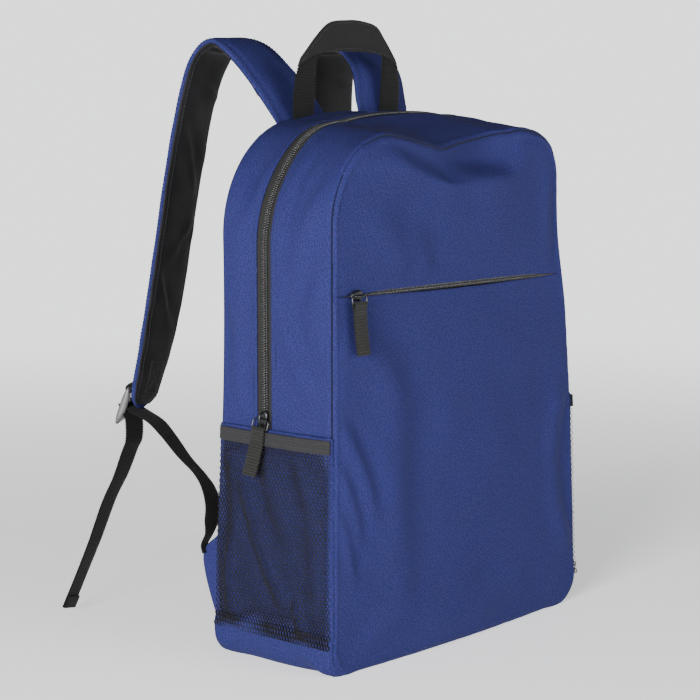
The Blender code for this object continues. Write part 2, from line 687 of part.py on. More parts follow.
LOOKS = {
    "navy": ((0.030, 0.048, 0.180), 0.85, 0.0),
    "black": ((0.012, 0.012, 0.013), 0.80, 0.0),
    "lining": ((0.020, 0.020, 0.022), 0.75, 0.0),
    "foam": ((0.600, 0.600, 0.580), 0.95, 0.0),
    "mesh": ((0.015, 0.015, 0.016), 0.80, 0.0),
    "elastic": ((0.040, 0.040, 0.036), 0.85, 0.0),
    "coil": ((0.008, 0.008, 0.008), 0.45, 0.0),
    "metal": ((0.120, 0.120, 0.125), 0.35, 1.0),
    "plastic": ((0.180, 0.175, 0.180), 0.50, 0.0),
}

clear_scene()
PACK = bpy.data.collections.new("school_backpack")
CUTTERS = bpy.data.collections.new("cutters")
bpy.context.scene.collection.children.link(PACK)
bpy.context.scene.collection.children.link(CUTTERS)

make_front()
make_back()
make_gusset()
make_seam_bindings()
make_main_zip()
make_pocket_zip()
make_sliders()
make_side_pockets()
make_handle()
make_straps()
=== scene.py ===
"""The looks of the school backpack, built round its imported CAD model. Metres, +Z up."""
import math

import bpy
import numpy as np
from mathutils import Matrix, Vector

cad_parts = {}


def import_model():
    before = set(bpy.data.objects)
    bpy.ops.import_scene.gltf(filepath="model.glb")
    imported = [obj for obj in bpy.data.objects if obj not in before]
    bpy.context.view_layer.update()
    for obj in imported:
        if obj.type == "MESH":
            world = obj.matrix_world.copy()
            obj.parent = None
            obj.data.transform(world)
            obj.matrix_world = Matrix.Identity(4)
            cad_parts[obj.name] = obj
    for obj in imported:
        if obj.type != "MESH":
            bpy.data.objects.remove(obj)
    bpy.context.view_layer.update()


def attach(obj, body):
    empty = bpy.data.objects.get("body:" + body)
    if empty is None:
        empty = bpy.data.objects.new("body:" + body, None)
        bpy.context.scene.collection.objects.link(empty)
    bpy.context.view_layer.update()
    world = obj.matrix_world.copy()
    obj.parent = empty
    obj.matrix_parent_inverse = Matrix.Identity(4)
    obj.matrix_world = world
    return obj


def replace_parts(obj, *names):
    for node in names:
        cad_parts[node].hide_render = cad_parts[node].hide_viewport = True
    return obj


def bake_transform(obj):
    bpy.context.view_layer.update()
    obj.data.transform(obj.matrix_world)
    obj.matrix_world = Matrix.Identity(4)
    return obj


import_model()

# ---------------------------------------------------------------- sizes, as in the CAD
HALF = 0.150                  # half the body's width
FRONT_Y, BACK_Y = -0.060, 0.060
FRONT_HEIGHT, BACK_HEIGHT = 0.402, 0.416
TOP_CROWN = 0.006
FRONT_TOP_RADIUS, REAR_TOP_RADIUS = 0.064, 0.090
BOTTOM_RADIUS = 0.030
ZIP_Y, ZIP_END_Z = 0.009, 0.180
POCKET_ZIP_Z, POCKET_ZIP_HALF = 0.287, 0.1425
MESH_LOW, MESH_HIGH = 0.0245, 0.1712
ELASTIC_HIGH = 0.1808
HANDLE_Y, HANDLE_FOOT_Z = 0.0575, 0.4245
HANDLE_LEAN = math.radians(4)

# ---------------------------------------------------------------- sizes of the looks
CLOTH = 0.0009                # fabric thickness
ZIP_OPEN = 0.0078             # fabric edge from the main zip's middle line
TAPE_TOP = -0.0021            # zip tape's face below the fabric's
COIL_CENTRE = -0.0009
COIL_PITCH = 0.0019
RIB_PITCH = 0.0023            # webbing of the handle and the pulls
SEAM = 0.0013                 # how far the seam line lies inside the body's edge

SIDES = (("left", -1), ("right", 1))


# ---------------------------------------------------------------- small maths
def unit(v):
    return v / np.maximum(np.linalg.norm(v, axis=-1, keepdims=True), 1e-9)


def ease(low, high, x):
    t = np.clip((x - low) / (high - low), 0, 1)
    return t * t * (3 - 2 * t)


def ripple(a, b, size, seed):
    """Smooth random hills of about -1 to 1: a sum of waves in random directions."""
    draw = np.random.default_rng(seed)
    total = np.zeros(np.broadcast(a, b).shape)
    for _ in range(7):
        turn, phase = draw.uniform(0, 2 * math.pi, 2)
        k = 2 * math.pi / (size * draw.uniform(0.7, 1.5))
        total = total + np.sin(k * (a * math.cos(turn) + b * math.sin(turn)) + phase)
    return total / 3


def creases(a, b, lines):
    """Height of soft creases on a flat sheet.

    Each line is (start, end, width, height, bend): a ridge with a hollow along its one
    side, which bends sideways by bend in the middle and dies away at both ends.
    """
    total = np.zeros(np.broadcast(a, b).shape)
    for (a0, b0), (a1, b1), width, height, bend in lines:
        length = math.hypot(a1 - a0, b1 - b0)
        ta, tb = (a1 - a0) / length, (b1 - b0) / length
        s = ((a - a0) * ta + (b - b0) * tb) / length
        across = (b - b0) * ta - (a - a0) * tb - bend * 4 * s * (1 - s)
        fade = ease(-0.15, 0.30, s) * (1 - ease(0.70, 1.15, s))
        t = across / width
        total = total + height * fade * (np.exp(-t * t) - 0.5 * np.exp(-((t - 1.5) / 1.2) ** 2))
    return total


def smooth_route(points, per_span):
    """A smooth curve through a route's points (Catmull-Rom), per_span steps a span."""
    points = np.array(points, float)
    padded = np.vstack([2 * points[0] - points[1], points, 2 * points[-1] - points[-2]])
    route = []
    for a, b, c, d in zip(padded, padded[1:], padded[2:], padded[3:]):
        for step in range(per_span):
            t = step / per_span
            route.append(0.5 * (2 * b + (c - a) * t + (2 * a - 5 * b + 4 * c - d) * t * t
                                + (3 * b - a - 3 * c + d) * t ** 3))
    route.append(points[-1])
    return np.array(route)


def spread(values, count):
    spots = np.linspace(0, len(values) - 1, count)
    return np.interp(spots, range(len(values)), values)


def lengths(path):
    """Distance along a path at each of its points."""
    steps = np.linalg.norm(np.diff(path, axis=0), axis=1)
    return np.concatenate([[0], np.cumsum(steps)])


def resample(path, step):
    """The same path with even steps, and its direction at each."""
    run = lengths(path)
    count = max(int(run[-1] / step), 2)
    spots = np.linspace(0, run[-1], count + 1)
    even = np.stack([np.interp(spots, run, path[:, k]) for k in range(3)], -1)
    return even, unit(np.gradient(even, axis=0))


# ---------------------------------------------------------------- meshes
def add_mesh(name, points, faces, material, uv=None):
    mesh = bpy.data.meshes.new(name)
    mesh.from_pydata(np.reshape(points, (-1, 3)).tolist(), [], [list(f) for f in faces])
    if uv is not None:
        corner = np.empty(len(mesh.loops), int)
        mesh.loops.foreach_get("vertex_index", corner)
        layer = mesh.uv_layers.new(name="UVMap")
        layer.data.foreach_set("uv", np.reshape(uv, (-1, 2))[corner].ravel())
    mesh.shade_smooth()
    mesh.materials.append(material)
    piece = bpy.data.objects.new(name, mesh)
    bpy.context.scene.collection.objects.link(piece)
    return piece


def grid_faces(rows, columns, wrap=False):
    index = np.arange(rows * columns).reshape(rows, columns)
    if wrap:
        index = np.vstack([index, index[:1]])
    corners = (index[:-1, :-1], index[1:, :-1], index[1:, 1:], index[:-1, 1:])
    return np.stack(corners, -1).reshape(-1, 4)


def grid_normals(points):
    return unit(np.cross(np.gradient(points, axis=0), np.gradient(points, axis=1)))


def grid_uv(points):
    """Distances across a grid in metres, so that a weave keeps its real size on it."""
    down = np.linalg.norm(np.diff(points, axis=0), axis=2).mean(axis=1)
    along = np.linalg.norm(np.diff(points, axis=1), axis=2).mean(axis=0)
    u = np.concatenate([[0], np.cumsum(down)])
    v = np.concatenate([[0], np.cumsum(along)])
    return np.stack(np.meshgrid(u, v, indexing="ij"), -1)


def add_cloth(name, points, material, thickness=CLOTH, uv=None):
    """A closed sheet of fabric whose outer face is the grid of points."""
    rows, columns = points.shape[:2]
    inner = points - grid_normals(points) * thickness
    count = rows * columns
    faces = grid_faces(rows, columns)
    index = np.arange(count).reshape(rows, columns)
    loop = np.concatenate([index[:-1, 0], index[-1, :-1], index[:0:-1, -1], index[0, :0:-1]])
    after = np.roll(loop, -1)
    rim = np.stack([after, loop, loop + count, after + count], -1)
    everything = np.concatenate([faces, faces[:, ::-1] + count, rim])
    uv = grid_uv(points) if uv is None else uv
    both = np.concatenate([uv.reshape(-1, 2), uv.reshape(-1, 2)])
    solid = np.concatenate([points.reshape(-1, 3), inner.reshape(-1, 3)])
    return add_mesh(name, solid, everything.tolist(), material, both)


class Bundle:
    """Many small closed bodies gathered into one mesh."""

    def __init__(self):
        self.points, self.faces, self.uv, self.count = [], [], [], 0

    def add(self, points, faces, uv=None):
        points = np.reshape(points, (-1, 3))
        self.points.append(points)
        self.faces += [[int(k) + self.count for k in face] for face in faces]
        self.uv.append(np.zeros((len(points), 2)) if uv is None else np.reshape(uv, (-1, 2)))
        self.count += len(points)

    def build(self, name, material):
        return add_mesh(name, np.concatenate(self.points), self.faces, material,
                        np.concatenate(self.uv))


def ring_faces(rings, sides, closed):
    """Quads between rings of points, with end caps when the run isn't closed."""
    faces = []
    for i in range(rings if closed else rings - 1):
        a, b = i * sides, (i + 1) % rings * sides
        for k in range(sides):
            n = (k + 1) % sides
            faces.append([a + k, a + n, b + n, b + k])
    if not closed:
        faces.append(list(range(sides))[::-1])
        faces.append(list(range((rings - 1) * sides, rings * sides)))
    return faces


def tube(path, radius, sides=6, closed=False, reference=(0, 0, 1)):
    """Points and faces of a round tube along a path."""
    along = unit(np.gradient(path, axis=0))
    if closed:
        along = unit(np.roll(path, -1, 0) - np.roll(path, 1, 0))
    first = unit(np.cross(along, np.broadcast_to(reference, path.shape)))
    second = np.cross(along, first)
    angles = 2 * math.pi * np.arange(sides) / sides
    ring = (first[:, None] * np.cos(angles)[None, :, None]
            + second[:, None] * np.sin(angles)[None, :, None])
    radius = np.reshape(np.broadcast_to(radius, len(path)), (-1, 1, 1))
    return path[:, None] + ring * radius, ring_faces(len(path), sides, closed)


def add_stitches(bundle, path, normals, pitch=0.0030, length=0.0024, radius=0.00028):
    """A run of sewing stitches along a path that lies on a surface."""
    run = lengths(path)
    rings = np.radians((20, 60, 120, 160))
    sides = 6
    angles = 2 * math.pi * np.arange(sides) / sides
    for middle in np.arange(pitch / 2, run[-1], pitch):
        centre = np.array([np.interp(middle, run, path[:, k]) for k in range(3)])
        ahead = np.array([np.interp(middle + length / 2, run, path[:, k]) for k in range(3)])
        behind = np.array([np.interp(middle - length / 2, run, path[:, k]) for k in range(3)])
        along = unit(ahead - behind)
        out = np.array([np.interp(middle, run, normals[:, k]) for k in range(3)])
        out = unit(out - along * (out @ along))
        side = np.cross(out, along)
        points = [centre - along * math.cos(turn) * length / 2
                  + (side * math.cos(a) + out * math.sin(a) * 0.8) * math.sin(turn) * radius
                  for turn in rings for a in angles]
        bundle.add(np.array(points), ring_faces(len(rings), sides, False))


# ---------------------------------------------------------------- materials
def shader(name, roughness=0.7, metallic=0.0, **sockets):
    """A new material: its node tree, a maker of linked nodes, and its Principled shader."""
    material = bpy.data.materials.new(name)
    material.use_nodes = True
    tree = material.node_tree
    surface = tree.nodes["Principled BSDF"]
    surface.inputs["Roughness"].default_value = roughness
    surface.inputs["Metallic"].default_value = metallic
    for socket, value in sockets.items():
        surface.inputs[socket.replace("_", " ")].default_value = value

    def node(kind, inputs=(), **settings):
        made = tree.nodes.new(kind)
        for key, value in settings.items():
            setattr(made, key, value)
        for place, value in dict(inputs).items():
            if isinstance(value, bpy.types.NodeSocket):
                tree.links.new(value, made.inputs[place])
            else:
                made.inputs[place].default_value = value
        return made.outputs[0]

    return material, node, surface, tree.links


def maths(node, operation, a, b=0.0):
    return node("ShaderNodeMath", {0: a, 1: b}, operation=operation)


def mix_colour(node, factor, a, b):
    made = node("ShaderNodeMix", {0: factor, 6: a, 7: b}, data_type="RGBA")
    return made.node.outputs[2]


def rgba(colour, gain=1.0):
    return (*(min(c * gain, 1.0) for c in colour), 1.0)


def woven(name, colour, pitch=0.0009, depth=0.00010, roughness=0.85, sheen=0.03, contrast=0.30,
          speckle=0.0, tint=None, twill=False, grit=1.8):
    """Woven cloth whose threads cross at pitch, with slubs, mottling and sheen."""
    material, node, surface, links = shader(name, roughness, Sheen_Weight=sheen,
                                            Sheen_Roughness=0.5, Specular_IOR_Level=0.12)
    place = node("ShaderNodeUVMap", uv_map="UVMap")
    split = node("ShaderNodeSeparateXYZ", {0: place}).node
    k = math.pi / pitch
    u, v = split.outputs[0], split.outputs[1]
    if twill:
        slant = maths(node, "ADD", u, v)
        threads = maths(node, "SINE", maths(node, "MULTIPLY", slant, 1.4 * k))
        cross = maths(node, "SINE", maths(node, "MULTIPLY", u, 2 * k))
        weave = maths(node, "MULTIPLY_ADD", cross, 0.35)
        weave.node.inputs[2].default_value = 0.0
        weave = maths(node, "ADD", weave, threads)
    else:
        weave = maths(node, "MULTIPLY", maths(node, "SINE", maths(node, "MULTIPLY", u, k)),
                      maths(node, "SINE", maths(node, "MULTIPLY", v, k)))
    fine = node("ShaderNodeTexNoise", {"Vector": place, "Scale": 850.0, "Detail": 2.0})
    fine = maths(node, "MULTIPLY", maths(node, "SUBTRACT", fine, 0.36), grit)
    broad = node("ShaderNodeTexNoise", {"Vector": place, "Scale": 45.0, "Detail": 3.0})
    level = maths(node, "MULTIPLY_ADD", weave, 0.5 * contrast)
    links.new(fine, level.node.inputs[2])
    tone = maths(node, "MULTIPLY_ADD", broad, 0.35)
    links.new(level, tone.node.inputs[2])
    tone = maths(node, "SUBTRACT", tone, 0.30)
    base = mix_colour(node, tone, rgba(colour, 0.62), rgba(colour, 1.45))
    if speckle:
        spots = node("ShaderNodeTexNoise", {"Vector": place, "Scale": 800.0, "Detail": 1.0})
        chosen = maths(node, "MULTIPLY", maths(node, "GREATER_THAN", spots, 0.55), speckle)
        base = mix_colour(node, chosen, base, rgba(tint))
    links.new(base, surface.inputs["Base Color"])
    height = maths(node, "MULTIPLY_ADD", fine, 0.8)
    links.new(weave, height.node.inputs[2])
    bump = node("ShaderNodeBump", {"Strength": 0.6, "Distance": depth, "Height": height})
    links.new(bump, surface.inputs["Normal"])
    rough = maths(node, "MULTIPLY_ADD", broad, 0.25)
    rough.node.inputs[2].default_value = roughness - 0.12
    links.new(rough, surface.inputs["Roughness"])
    return material


def solid(name, colour, roughness, metallic=0.0, grain=350.0, depth=0.00004, spread_=0.35,
          specular=0.5):
    """Moulded plastic, metal or thread with fine grain and worn tone."""
    material, node, surface, links = shader(name, roughness, metallic)
    surface.inputs["Specular IOR Level"].default_value = specular
    place = node("ShaderNodeTexCoord").node.outputs["Object"]
    grit = node("ShaderNodeTexNoise", {"Vector": place, "Scale": grain, "Detail": 4.0})
    patch = node("ShaderNodeTexNoise", {"Vector": place, "Scale": grain / 8, "Detail": 2.0})
    tone = maths(node, "MULTIPLY_ADD", grit, 0.5)
    links.new(patch, tone.node.inputs[2])
    tone = maths(node, "MULTIPLY", tone, 0.66)
    base = mix_colour(node, tone, rgba(colour, 1 - spread_), rgba(colour, 1 + spread_))
    links.new(base, surface.inputs["Base Color"])
    rough = maths(node, "MULTIPLY_ADD", patch, 0.25)
    rough.node.inputs[2].default_value = roughness - 0.12
    links.new(rough, surface.inputs["Roughness"])
    bump = node("ShaderNodeBump", {"Strength": 0.5, "Distance": depth, "Height": grit})
    links.new(bump, surface.inputs["Normal"])
    return material


NAVY_COLOUR = (0.0118, 0.0170, 0.083)
NAVY = woven("navy_polyester", NAVY_COLOUR, contrast=0.5, sheen=0.0, grit=1.5, speckle=0.40,
             tint=(0.036, 0.024, 0.115))
NAVY_THREAD = solid("navy_thread", (0.0055, 0.0095, 0.050), 0.75, grain=2500.0)
BLACK_CLOTH = woven("black_lining_cloth", (0.0060, 0.0060, 0.0070), pitch=0.0006, depth=0.00006,
                    roughness=0.60)
LINING = woven("dark_lining", (0.006, 0.006, 0.007), pitch=0.0005, depth=0.00004)
WEBBING = woven("black_webbing", (0.0040, 0.0040, 0.0042), pitch=0.0011, depth=0.00010,
                roughness=0.72, contrast=0.7)
PULL_WEBBING = woven("grey_webbing", (0.015, 0.015, 0.014), pitch=0.0011, depth=0.00010,
                     roughness=0.75, contrast=0.7)
GRIP_TWILL = woven("black_twill", (0.0080, 0.0080, 0.0082), pitch=0.0015, depth=0.00014,
                   roughness=0.78, contrast=0.9, twill=True)
TAPE = woven("grey_zip_tape", (0.015, 0.015, 0.0145), pitch=0.0007, depth=0.00006,
             roughness=0.80, contrast=0.5)
# dark navy of the seam binding: partly the binding's own colour, partly painted shade that draws the dark
# line of the seam's groove
SEAM_BINDING_AND_SHADE = woven("seam_binding_and_painted_shade", (0.0045, 0.0060, 0.0250), pitch=0.0007, depth=0.00006)
ELASTIC = woven("charcoal_elastic", (0.021, 0.021, 0.022), pitch=0.0008, depth=0.00010,
                roughness=0.85, contrast=0.6)
NET = solid("black_mesh_yarn", (0.0090, 0.0088, 0.0090), 0.75, grain=1800.0, depth=0.00005,
            specular=0.12)
COIL = solid("black_coil", (0.018, 0.018, 0.018), 0.30, grain=900.0)
DARK_METAL = solid("dark_metal", (0.030, 0.030, 0.032), 0.30, metallic=0.85, grain=500.0)
BAIL_METAL = solid("bail_metal", (0.05, 0.05, 0.052), 0.36, metallic=1.0, grain=500.0)
GREY_PLASTIC = solid("grey_acetal", (0.060, 0.058, 0.060), 0.42, grain=700.0)
BLACK_THREAD = solid("black_thread", (0.013, 0.013, 0.014), 0.65, grain=2500.0)
BACK_CLOTH = woven("black_back_cloth", (0.0075, 0.0075, 0.0085), pitch=0.0010, depth=0.00012,
                   roughness=0.80, contrast=0.5)


# ---------------------------------------------------------------- the body's soft shape
def top_level(y):
    return FRONT_HEIGHT + (BACK_HEIGHT - FRONT_HEIGHT) * (y - FRONT_Y) / (BACK_Y - FRONT_Y)


def top_radius(y):
    back = np.clip((y - FRONT_Y) / (ZIP_Y - FRONT_Y), 0, 1)
    return FRONT_TOP_RADIUS + (REAR_TOP_RADIUS - FRONT_TOP_RADIUS) * back


def outline(u, y):
    """Place and outward direction at loop place u and depth y, as x, z, nx, nz.

    u runs from 0 at the bottom's middle, to 1 and 2 round the low left corner, 3 at the
    zip's left end, 4 and 5 round the top left corner and 6 at the top's middle, and on
    in the same way down the right side to 12.
    """
    u, y = np.broadcast_arrays(np.asarray(u, float) % 12, y)
    side = np.where(u <= 6, -1.0, 1.0)
    v = np.where(u <= 6, u, 12 - u)
    level, corner = top_level(y), top_radius(y)
    flat, low_flat = HALF - corner, HALF - BOTTOM_RADIUS
    low_turn = np.clip(v - 1, 0, 1) * math.pi / 2
    top_turn = np.clip(v - 4, 0, 1) * math.pi / 2
    crown_x = flat * np.clip(6 - v, 0, 1)
    where = [v <= 1, v <= 2, v <= 3, v <= 4, v <= 5]
    zero, one = np.zeros_like(v), np.ones_like(v)
    x = np.select(where, [v * low_flat, low_flat + BOTTOM_RADIUS * np.sin(low_turn), HALF * one,
                          HALF * one, flat + corner * np.cos(top_turn)], crown_x)
    z = np.select(where, [zero, BOTTOM_RADIUS * (1 - np.cos(low_turn)),
                          BOTTOM_RADIUS + (ZIP_END_Z - BOTTOM_RADIUS) * (v - 2),
                          ZIP_END_Z + (level - corner - ZIP_END_Z) * (v - 3),
                          level - corner + corner * np.sin(top_turn)],
                  level + TOP_CROWN * (1 - (crown_x / flat) ** 2))
    nx = np.select(where, [zero, np.sin(low_turn), one, one, np.cos(top_turn)],
                   2 * TOP_CROWN * crown_x / flat ** 2)
    nz = np.select(where, [-one, -np.cos(low_turn), zero, zero, np.sin(top_turn)], one)
    size = np.hypot(nx, nz)
    return side * x, z, side * nx / size, nz / size


def wall(u, y, offset=0.0):
    """A point of the side, top or bottom wall, lifted outwards by offset."""
    x, z, nx, nz = outline(u, y)
    depth = np.broadcast_to(y, x.shape)
    return np.stack([x + nx * offset, depth, z + nz * offset], -1)


RIGHT_EDGE = (                 # level, and where the right edge is
    (0.0, 0.022, 0.045, 0.088, 0.133, 0.176, 0.229, 0.263, 0.287, 0.313, 0.334, 0.352, 0.368,
     0.383, 0.393, 0.402),
    (0.161, 0.1672, 0.1665, 0.1640, 0.1612, 0.1582, 0.1525, 0.1485, 0.1435, 0.1380, 0.1355,
     0.1360, 0.1408, 0.1500, 0.1570, 0.1590))
BACK_EDGE = ((0.0, 0.025, 0.115, 0.190, 0.360, 0.400, 0.420),
             (0.0660, 0.0665, 0.0620, 0.0565, 0.0555, 0.0575, 0.0590))
TOP_SEAM = (                   # place across the front's top, and the seam's shift there
    (-0.150, -0.130, -0.119, -0.102, -0.086, -0.067, -0.049, -0.030, -0.0235, -0.0170, 0.0,
     0.026, 0.052, 0.065, 0.079, 0.100, 0.1145, 0.124, 0.132, 0.150),
    (0.0, 0.0022, 0.0025, 0.0026, 0.0037, -0.0007, -0.0063, -0.0113, -0.0131, -0.0128, -0.0090,
     -0.0037, 0.0014, 0.0029, 0.0062, 0.0053, 0.0048, 0.0037, 0.0, 0.0))
ZIP_CREST = (                  # the same along the main zip, which stands up like a ridge
    (-0.150, -0.125, -0.098, -0.075, -0.050, 0.0, 0.035, 0.061, 0.088, 0.110, 0.130, 0.150),
    (0.0, 0.0030, 0.0050, 0.0048, 0.0050, 0.0054, 0.0076, 0.0092, 0.0108, 0.0120, 0.0060, 0.0))
LOWEST = -0.0006               # the cloth lies flat on the floor here
CORNER_SQUARE, CORNER_REACH = 0.0100, 0.032    # how far, and over what, the low corners fill out
AWAY = np.array([0.745, 0.655, -0.125])     # the way the dented top of the front leans in


def smooth_steps(x, table):
    """A smooth curve through a table's points, flat beyond its ends."""
    at, value = np.array(table[0]), np.array(table[1])
    slope = np.gradient(value, at)
    slope[0] = slope[-1] = 0
    x = np.clip(x, at[0], at[-1])
    k = np.clip(np.searchsorted(at, x, side="right") - 1, 0, len(at) - 2)
    step = at[k + 1] - at[k]
    t = (x - at[k]) / step
    return (value[k] * (1 + 2 * t) * (1 - t) ** 2 + slope[k] * step * t * (1 - t) ** 2
            + value[k + 1] * t * t * (3 - 2 * t) + slope[k + 1] * step * t * t * (t - 1))


def slump(points):
    """The unloaded pack's soft shape: every piece of the body goes through this."""
    x, y, z = points[..., 0], points[..., 1], points[..., 2]
    forward = 1 - 0.5 * ease(-0.03, 0.06, y)
    front = np.clip((ZIP_Y - y) / (ZIP_Y - FRONT_Y), 0, 1.1)
    rear = np.clip((y - ZIP_Y) / (BACK_Y - ZIP_Y), 0, 1.1)
    right = smooth_steps(z, RIGHT_EDGE) - HALF
    moved_x = x + right * forward * np.clip(x / HALF, 0, 1.1) ** 2
    back = smooth_steps(z, BACK_EDGE) - BACK_Y
    moved_y = y + back * np.clip(y / BACK_Y, 0, 1.2) ** 3 * ease(0.06, 0.14, np.abs(x))
    moved_y = moved_y - (0.0050 * front * np.exp(-(z / 0.045) ** 2)
                         * np.clip(1 - (x / 0.135) ** 2, 0, 1) ** 1.3)
    high = ease(0.345, 0.400, z)
    crest = smooth_steps(x, ZIP_CREST) * (1 - np.maximum(front ** 1.3, rear)) * ease(0.36, 0.405, z)
    sag = 0.0050 * ease(0.020, 0.060, x) * (1 - ease(0.105, 0.135, x)) * rear ** 2 * high
    moved_z = z + smooth_steps(x, TOP_SEAM) * front ** 1.4 * high + crest - sag
    square = (CORNER_SQUARE * np.clip((np.abs(x) - (HALF - CORNER_REACH)) / CORNER_REACH, 0, 1)
              * np.clip(1 - z / CORNER_REACH, 0, 1))
    moved_x = moved_x + np.sign(x) * square
    moved_z = moved_z - square
    moved_z = np.where(moved_z < 0.004, LOWEST + np.logaddexp(0, (moved_z - LOWEST) / 0.0003)
                       * 0.0003, moved_z)
    dent = (0.0190 * np.exp(-((x - 0.030) / 0.044) ** 2) * ease(0.360, 0.400, z)
            * np.clip(front, 0, 1) ** 1.5)
    return np.stack([moved_x, moved_y, moved_z], -1) + dent[..., None] * AWAY


def seam_roll(distance):
    """Height of fabric near a seam: a fine ridge, then a sharp turn inwards."""
    ridge = 0.0005 * np.exp(-((distance - 0.0034) / 0.0014) ** 2)
    return ridge - 0.0026 * np.clip(1 - distance / 0.0036, 0, 1) ** 1.8


def pucker(run, distance, seed):
    """Small gathers across a seam, along its length run."""
    gathers = ripple(run, distance * 0.35, 0.012, seed) * 0.00022
    return gathers * np.exp(-np.clip(distance, 0, None) / 0.008)


# ---------------------------------------------------------------- front panels
FRONT_FOLDS = (                # (place across, level) of each end, width, height, bend
    ((-0.120, 0.384), (0.062, 0.363), 0.0105, 0.0042, 0.003),
    ((-0.022, 0.392), (0.066, 0.369), 0.0070, 0.0030, -0.003),
    ((0.060, 0.372), (0.118, 0.392), 0.0120, 0.0018, 0.004),
    ((-0.105, 0.345), (-0.066, 0.292), 0.0170, 0.0022, 0.005),
    ((-0.062, 0.335), (-0.044, 0.292), 0.0120, 0.0016, 0.003),
    ((0.122, 0.376), (0.126, 0.300), 0.0120, 0.0020, 0.004),
    ((-0.130, 0.262), (-0.080, 0.195), 0.0190, 0.0030, 0.006),
    ((-0.080, 0.212), (-0.076, 0.050), 0.0190, 0.0032, -0.006),
    ((-0.144, 0.196), (-0.108, 0.112), 0.0080, 0.0024, 0.004),
    ((-0.145, 0.160), (-0.122, 0.095), 0.0065, 0.0019, 0.003),
    ((-0.145, 0.126), (-0.128, 0.070), 0.0060, 0.0014, 0.002),
    ((0.134, 0.190), (0.117, 0.120), 0.0110, 0.0030, -0.005),
    ((0.117, 0.124), (0.141, 0.046), 0.0110, 0.0030, -0.004),
    ((-0.134, 0.060), (-0.060, 0.062), 0.0150, 0.0018, -0.008),
    ((-0.120, 0.018), (-0.040, 0.042), 0.0110, 0.0016, 0.005),
    ((0.010, 0.016), (0.095, 0.046), 0.0130, 0.0016, 0.005),
    ((0.020, 0.248), (0.110, 0.225), 0.0200, 0.0014, -0.006),
)


def front_inset(x, z):
    """Distance inside the front's outline."""
    level = FRONT_HEIGHT + TOP_CROWN * np.clip(1 - (x / (HALF - FRONT_TOP_RADIUS)) ** 2, 0, 1)
    inside = np.minimum(np.minimum(HALF - np.abs(x), level - z), z)
    for radius, over, beyond in (
            (FRONT_TOP_RADIUS, np.abs(x) - (HALF - FRONT_TOP_RADIUS),
             z - (FRONT_HEIGHT - FRONT_TOP_RADIUS)),
            (BOTTOM_RADIUS, np.abs(x) - (HALF - BOTTOM_RADIUS), BOTTOM_RADIUS - z)):
        corner = (over > 0) & (beyond > 0)
        inside = np.where(corner, radius - np.hypot(over, beyond), inside)
    return inside


def front_half_width(z, inset):
    rise = np.clip(z - (FRONT_HEIGHT - FRONT_TOP_RADIUS), 0, FRONT_TOP_RADIUS - inset)
    drop = np.clip(BOTTOM_RADIUS - z, 0, BOTTOM_RADIUS - inset)
    high = np.sqrt((FRONT_TOP_RADIUS - inset) ** 2 - rise ** 2) - (FRONT_TOP_RADIUS - inset)
    low = np.sqrt((BOTTOM_RADIUS - inset) ** 2 - drop ** 2) - (BOTTOM_RADIUS - inset)
    return HALF - inset + high + low


def front_depth(x, z):
    """The front's y: a soft bulge with folds, rolled in at its seam."""
    inside = front_inset(x, z)
    across = np.clip(1 - (x / HALF) ** 2, 0, 1)
    lower = z < POCKET_ZIP_Z
    t = np.where(lower, z / POCKET_ZIP_Z, (z - POCKET_ZIP_Z) / (FRONT_HEIGHT - POCKET_ZIP_Z))
    tall = np.sin(math.pi * np.clip(t, 0, 1)) ** 0.8
    bulge = np.where(lower, 0.0085, 0.0055) * across * tall
    quiet = ease(0.0, 0.014, inside) * (1 - 0.75 * np.exp(-((z - POCKET_ZIP_Z) / 0.010) ** 2))
    shape = (1.25 * creases(x, z, FRONT_FOLDS) + 0.0010 * ripple(x, z, 0.120, 3)
             + 0.0003 * ripple(x, z, 0.045, 4))
    around = np.arctan2(z - 0.2, x) * 0.2
    return FRONT_Y - bulge - shape * quiet - seam_roll(inside - SEAM) - pucker(around, inside, 5)


def slit_edge(x, upper):
    """Level of the fabric's edge over the pocket zip: the lower edge sags open."""
    open_ = np.clip(np.cos(math.pi / 2 * x / (POCKET_ZIP_HALF + 0.0035)), 0, 1) ** 0.7
    if upper:
        return POCKET_ZIP_Z + 0.0022 * open_ + 0.0002 * ripple(x, x * 0, 0.03, 8)
    return POCKET_ZIP_Z - 0.0030 * open_ + 0.0002 * ripple(x, x * 0, 0.04, 9)


def front_panel(name, upper):
    """One front panel: its slit edge is folded under, its other edges dive into the seam."""
    columns, rows = 170, 84 if upper else 160
    spots = np.linspace(-1, 1, columns)
    across = np.sign(spots) * (1 - (1 - np.abs(spots)) ** 1.25)
    steps = np.linspace(0, 1, rows)
    if upper:
        low, high = POCKET_ZIP_Z, FRONT_HEIGHT - SEAM
    else:
        low, high = SEAM, POCKET_ZIP_Z
    z = np.repeat((low + (high - low) * steps)[:, None], columns, 1)
    x = across[None] * front_half_width(z, SEAM)
    crown = TOP_CROWN * np.clip(1 - (x / (HALF - FRONT_TOP_RADIUS)) ** 2, 0, 1)
    edge = slit_edge(x, upper) - POCKET_ZIP_Z
    if upper:
        z = z + crown * steps[:, None] ** 3 + edge * (1 - steps[:, None]) ** 6
    else:
        z = z + edge * steps[:, None] ** 8
    y = front_depth(x, z)
    points = np.stack([x, y, z], -1)
    hem = points[0] if upper else points[-1]
    turn = 1 if upper else -1
    fold = [hem + np.array([0, dy, turn * dz]) for dy, dz in
            ((0.0004, -0.0003), (0.0009, -0.0001), (0.0013, 0.0010), (0.0015, 0.0040))]
    if upper:
        points = np.concatenate([np.array(fold[::-1]), points])
    else:
        points = np.concatenate([points, np.array(fold)])
    points = dive(points, upper)
    return add_cloth(name, slump(points)[::-1], NAVY)


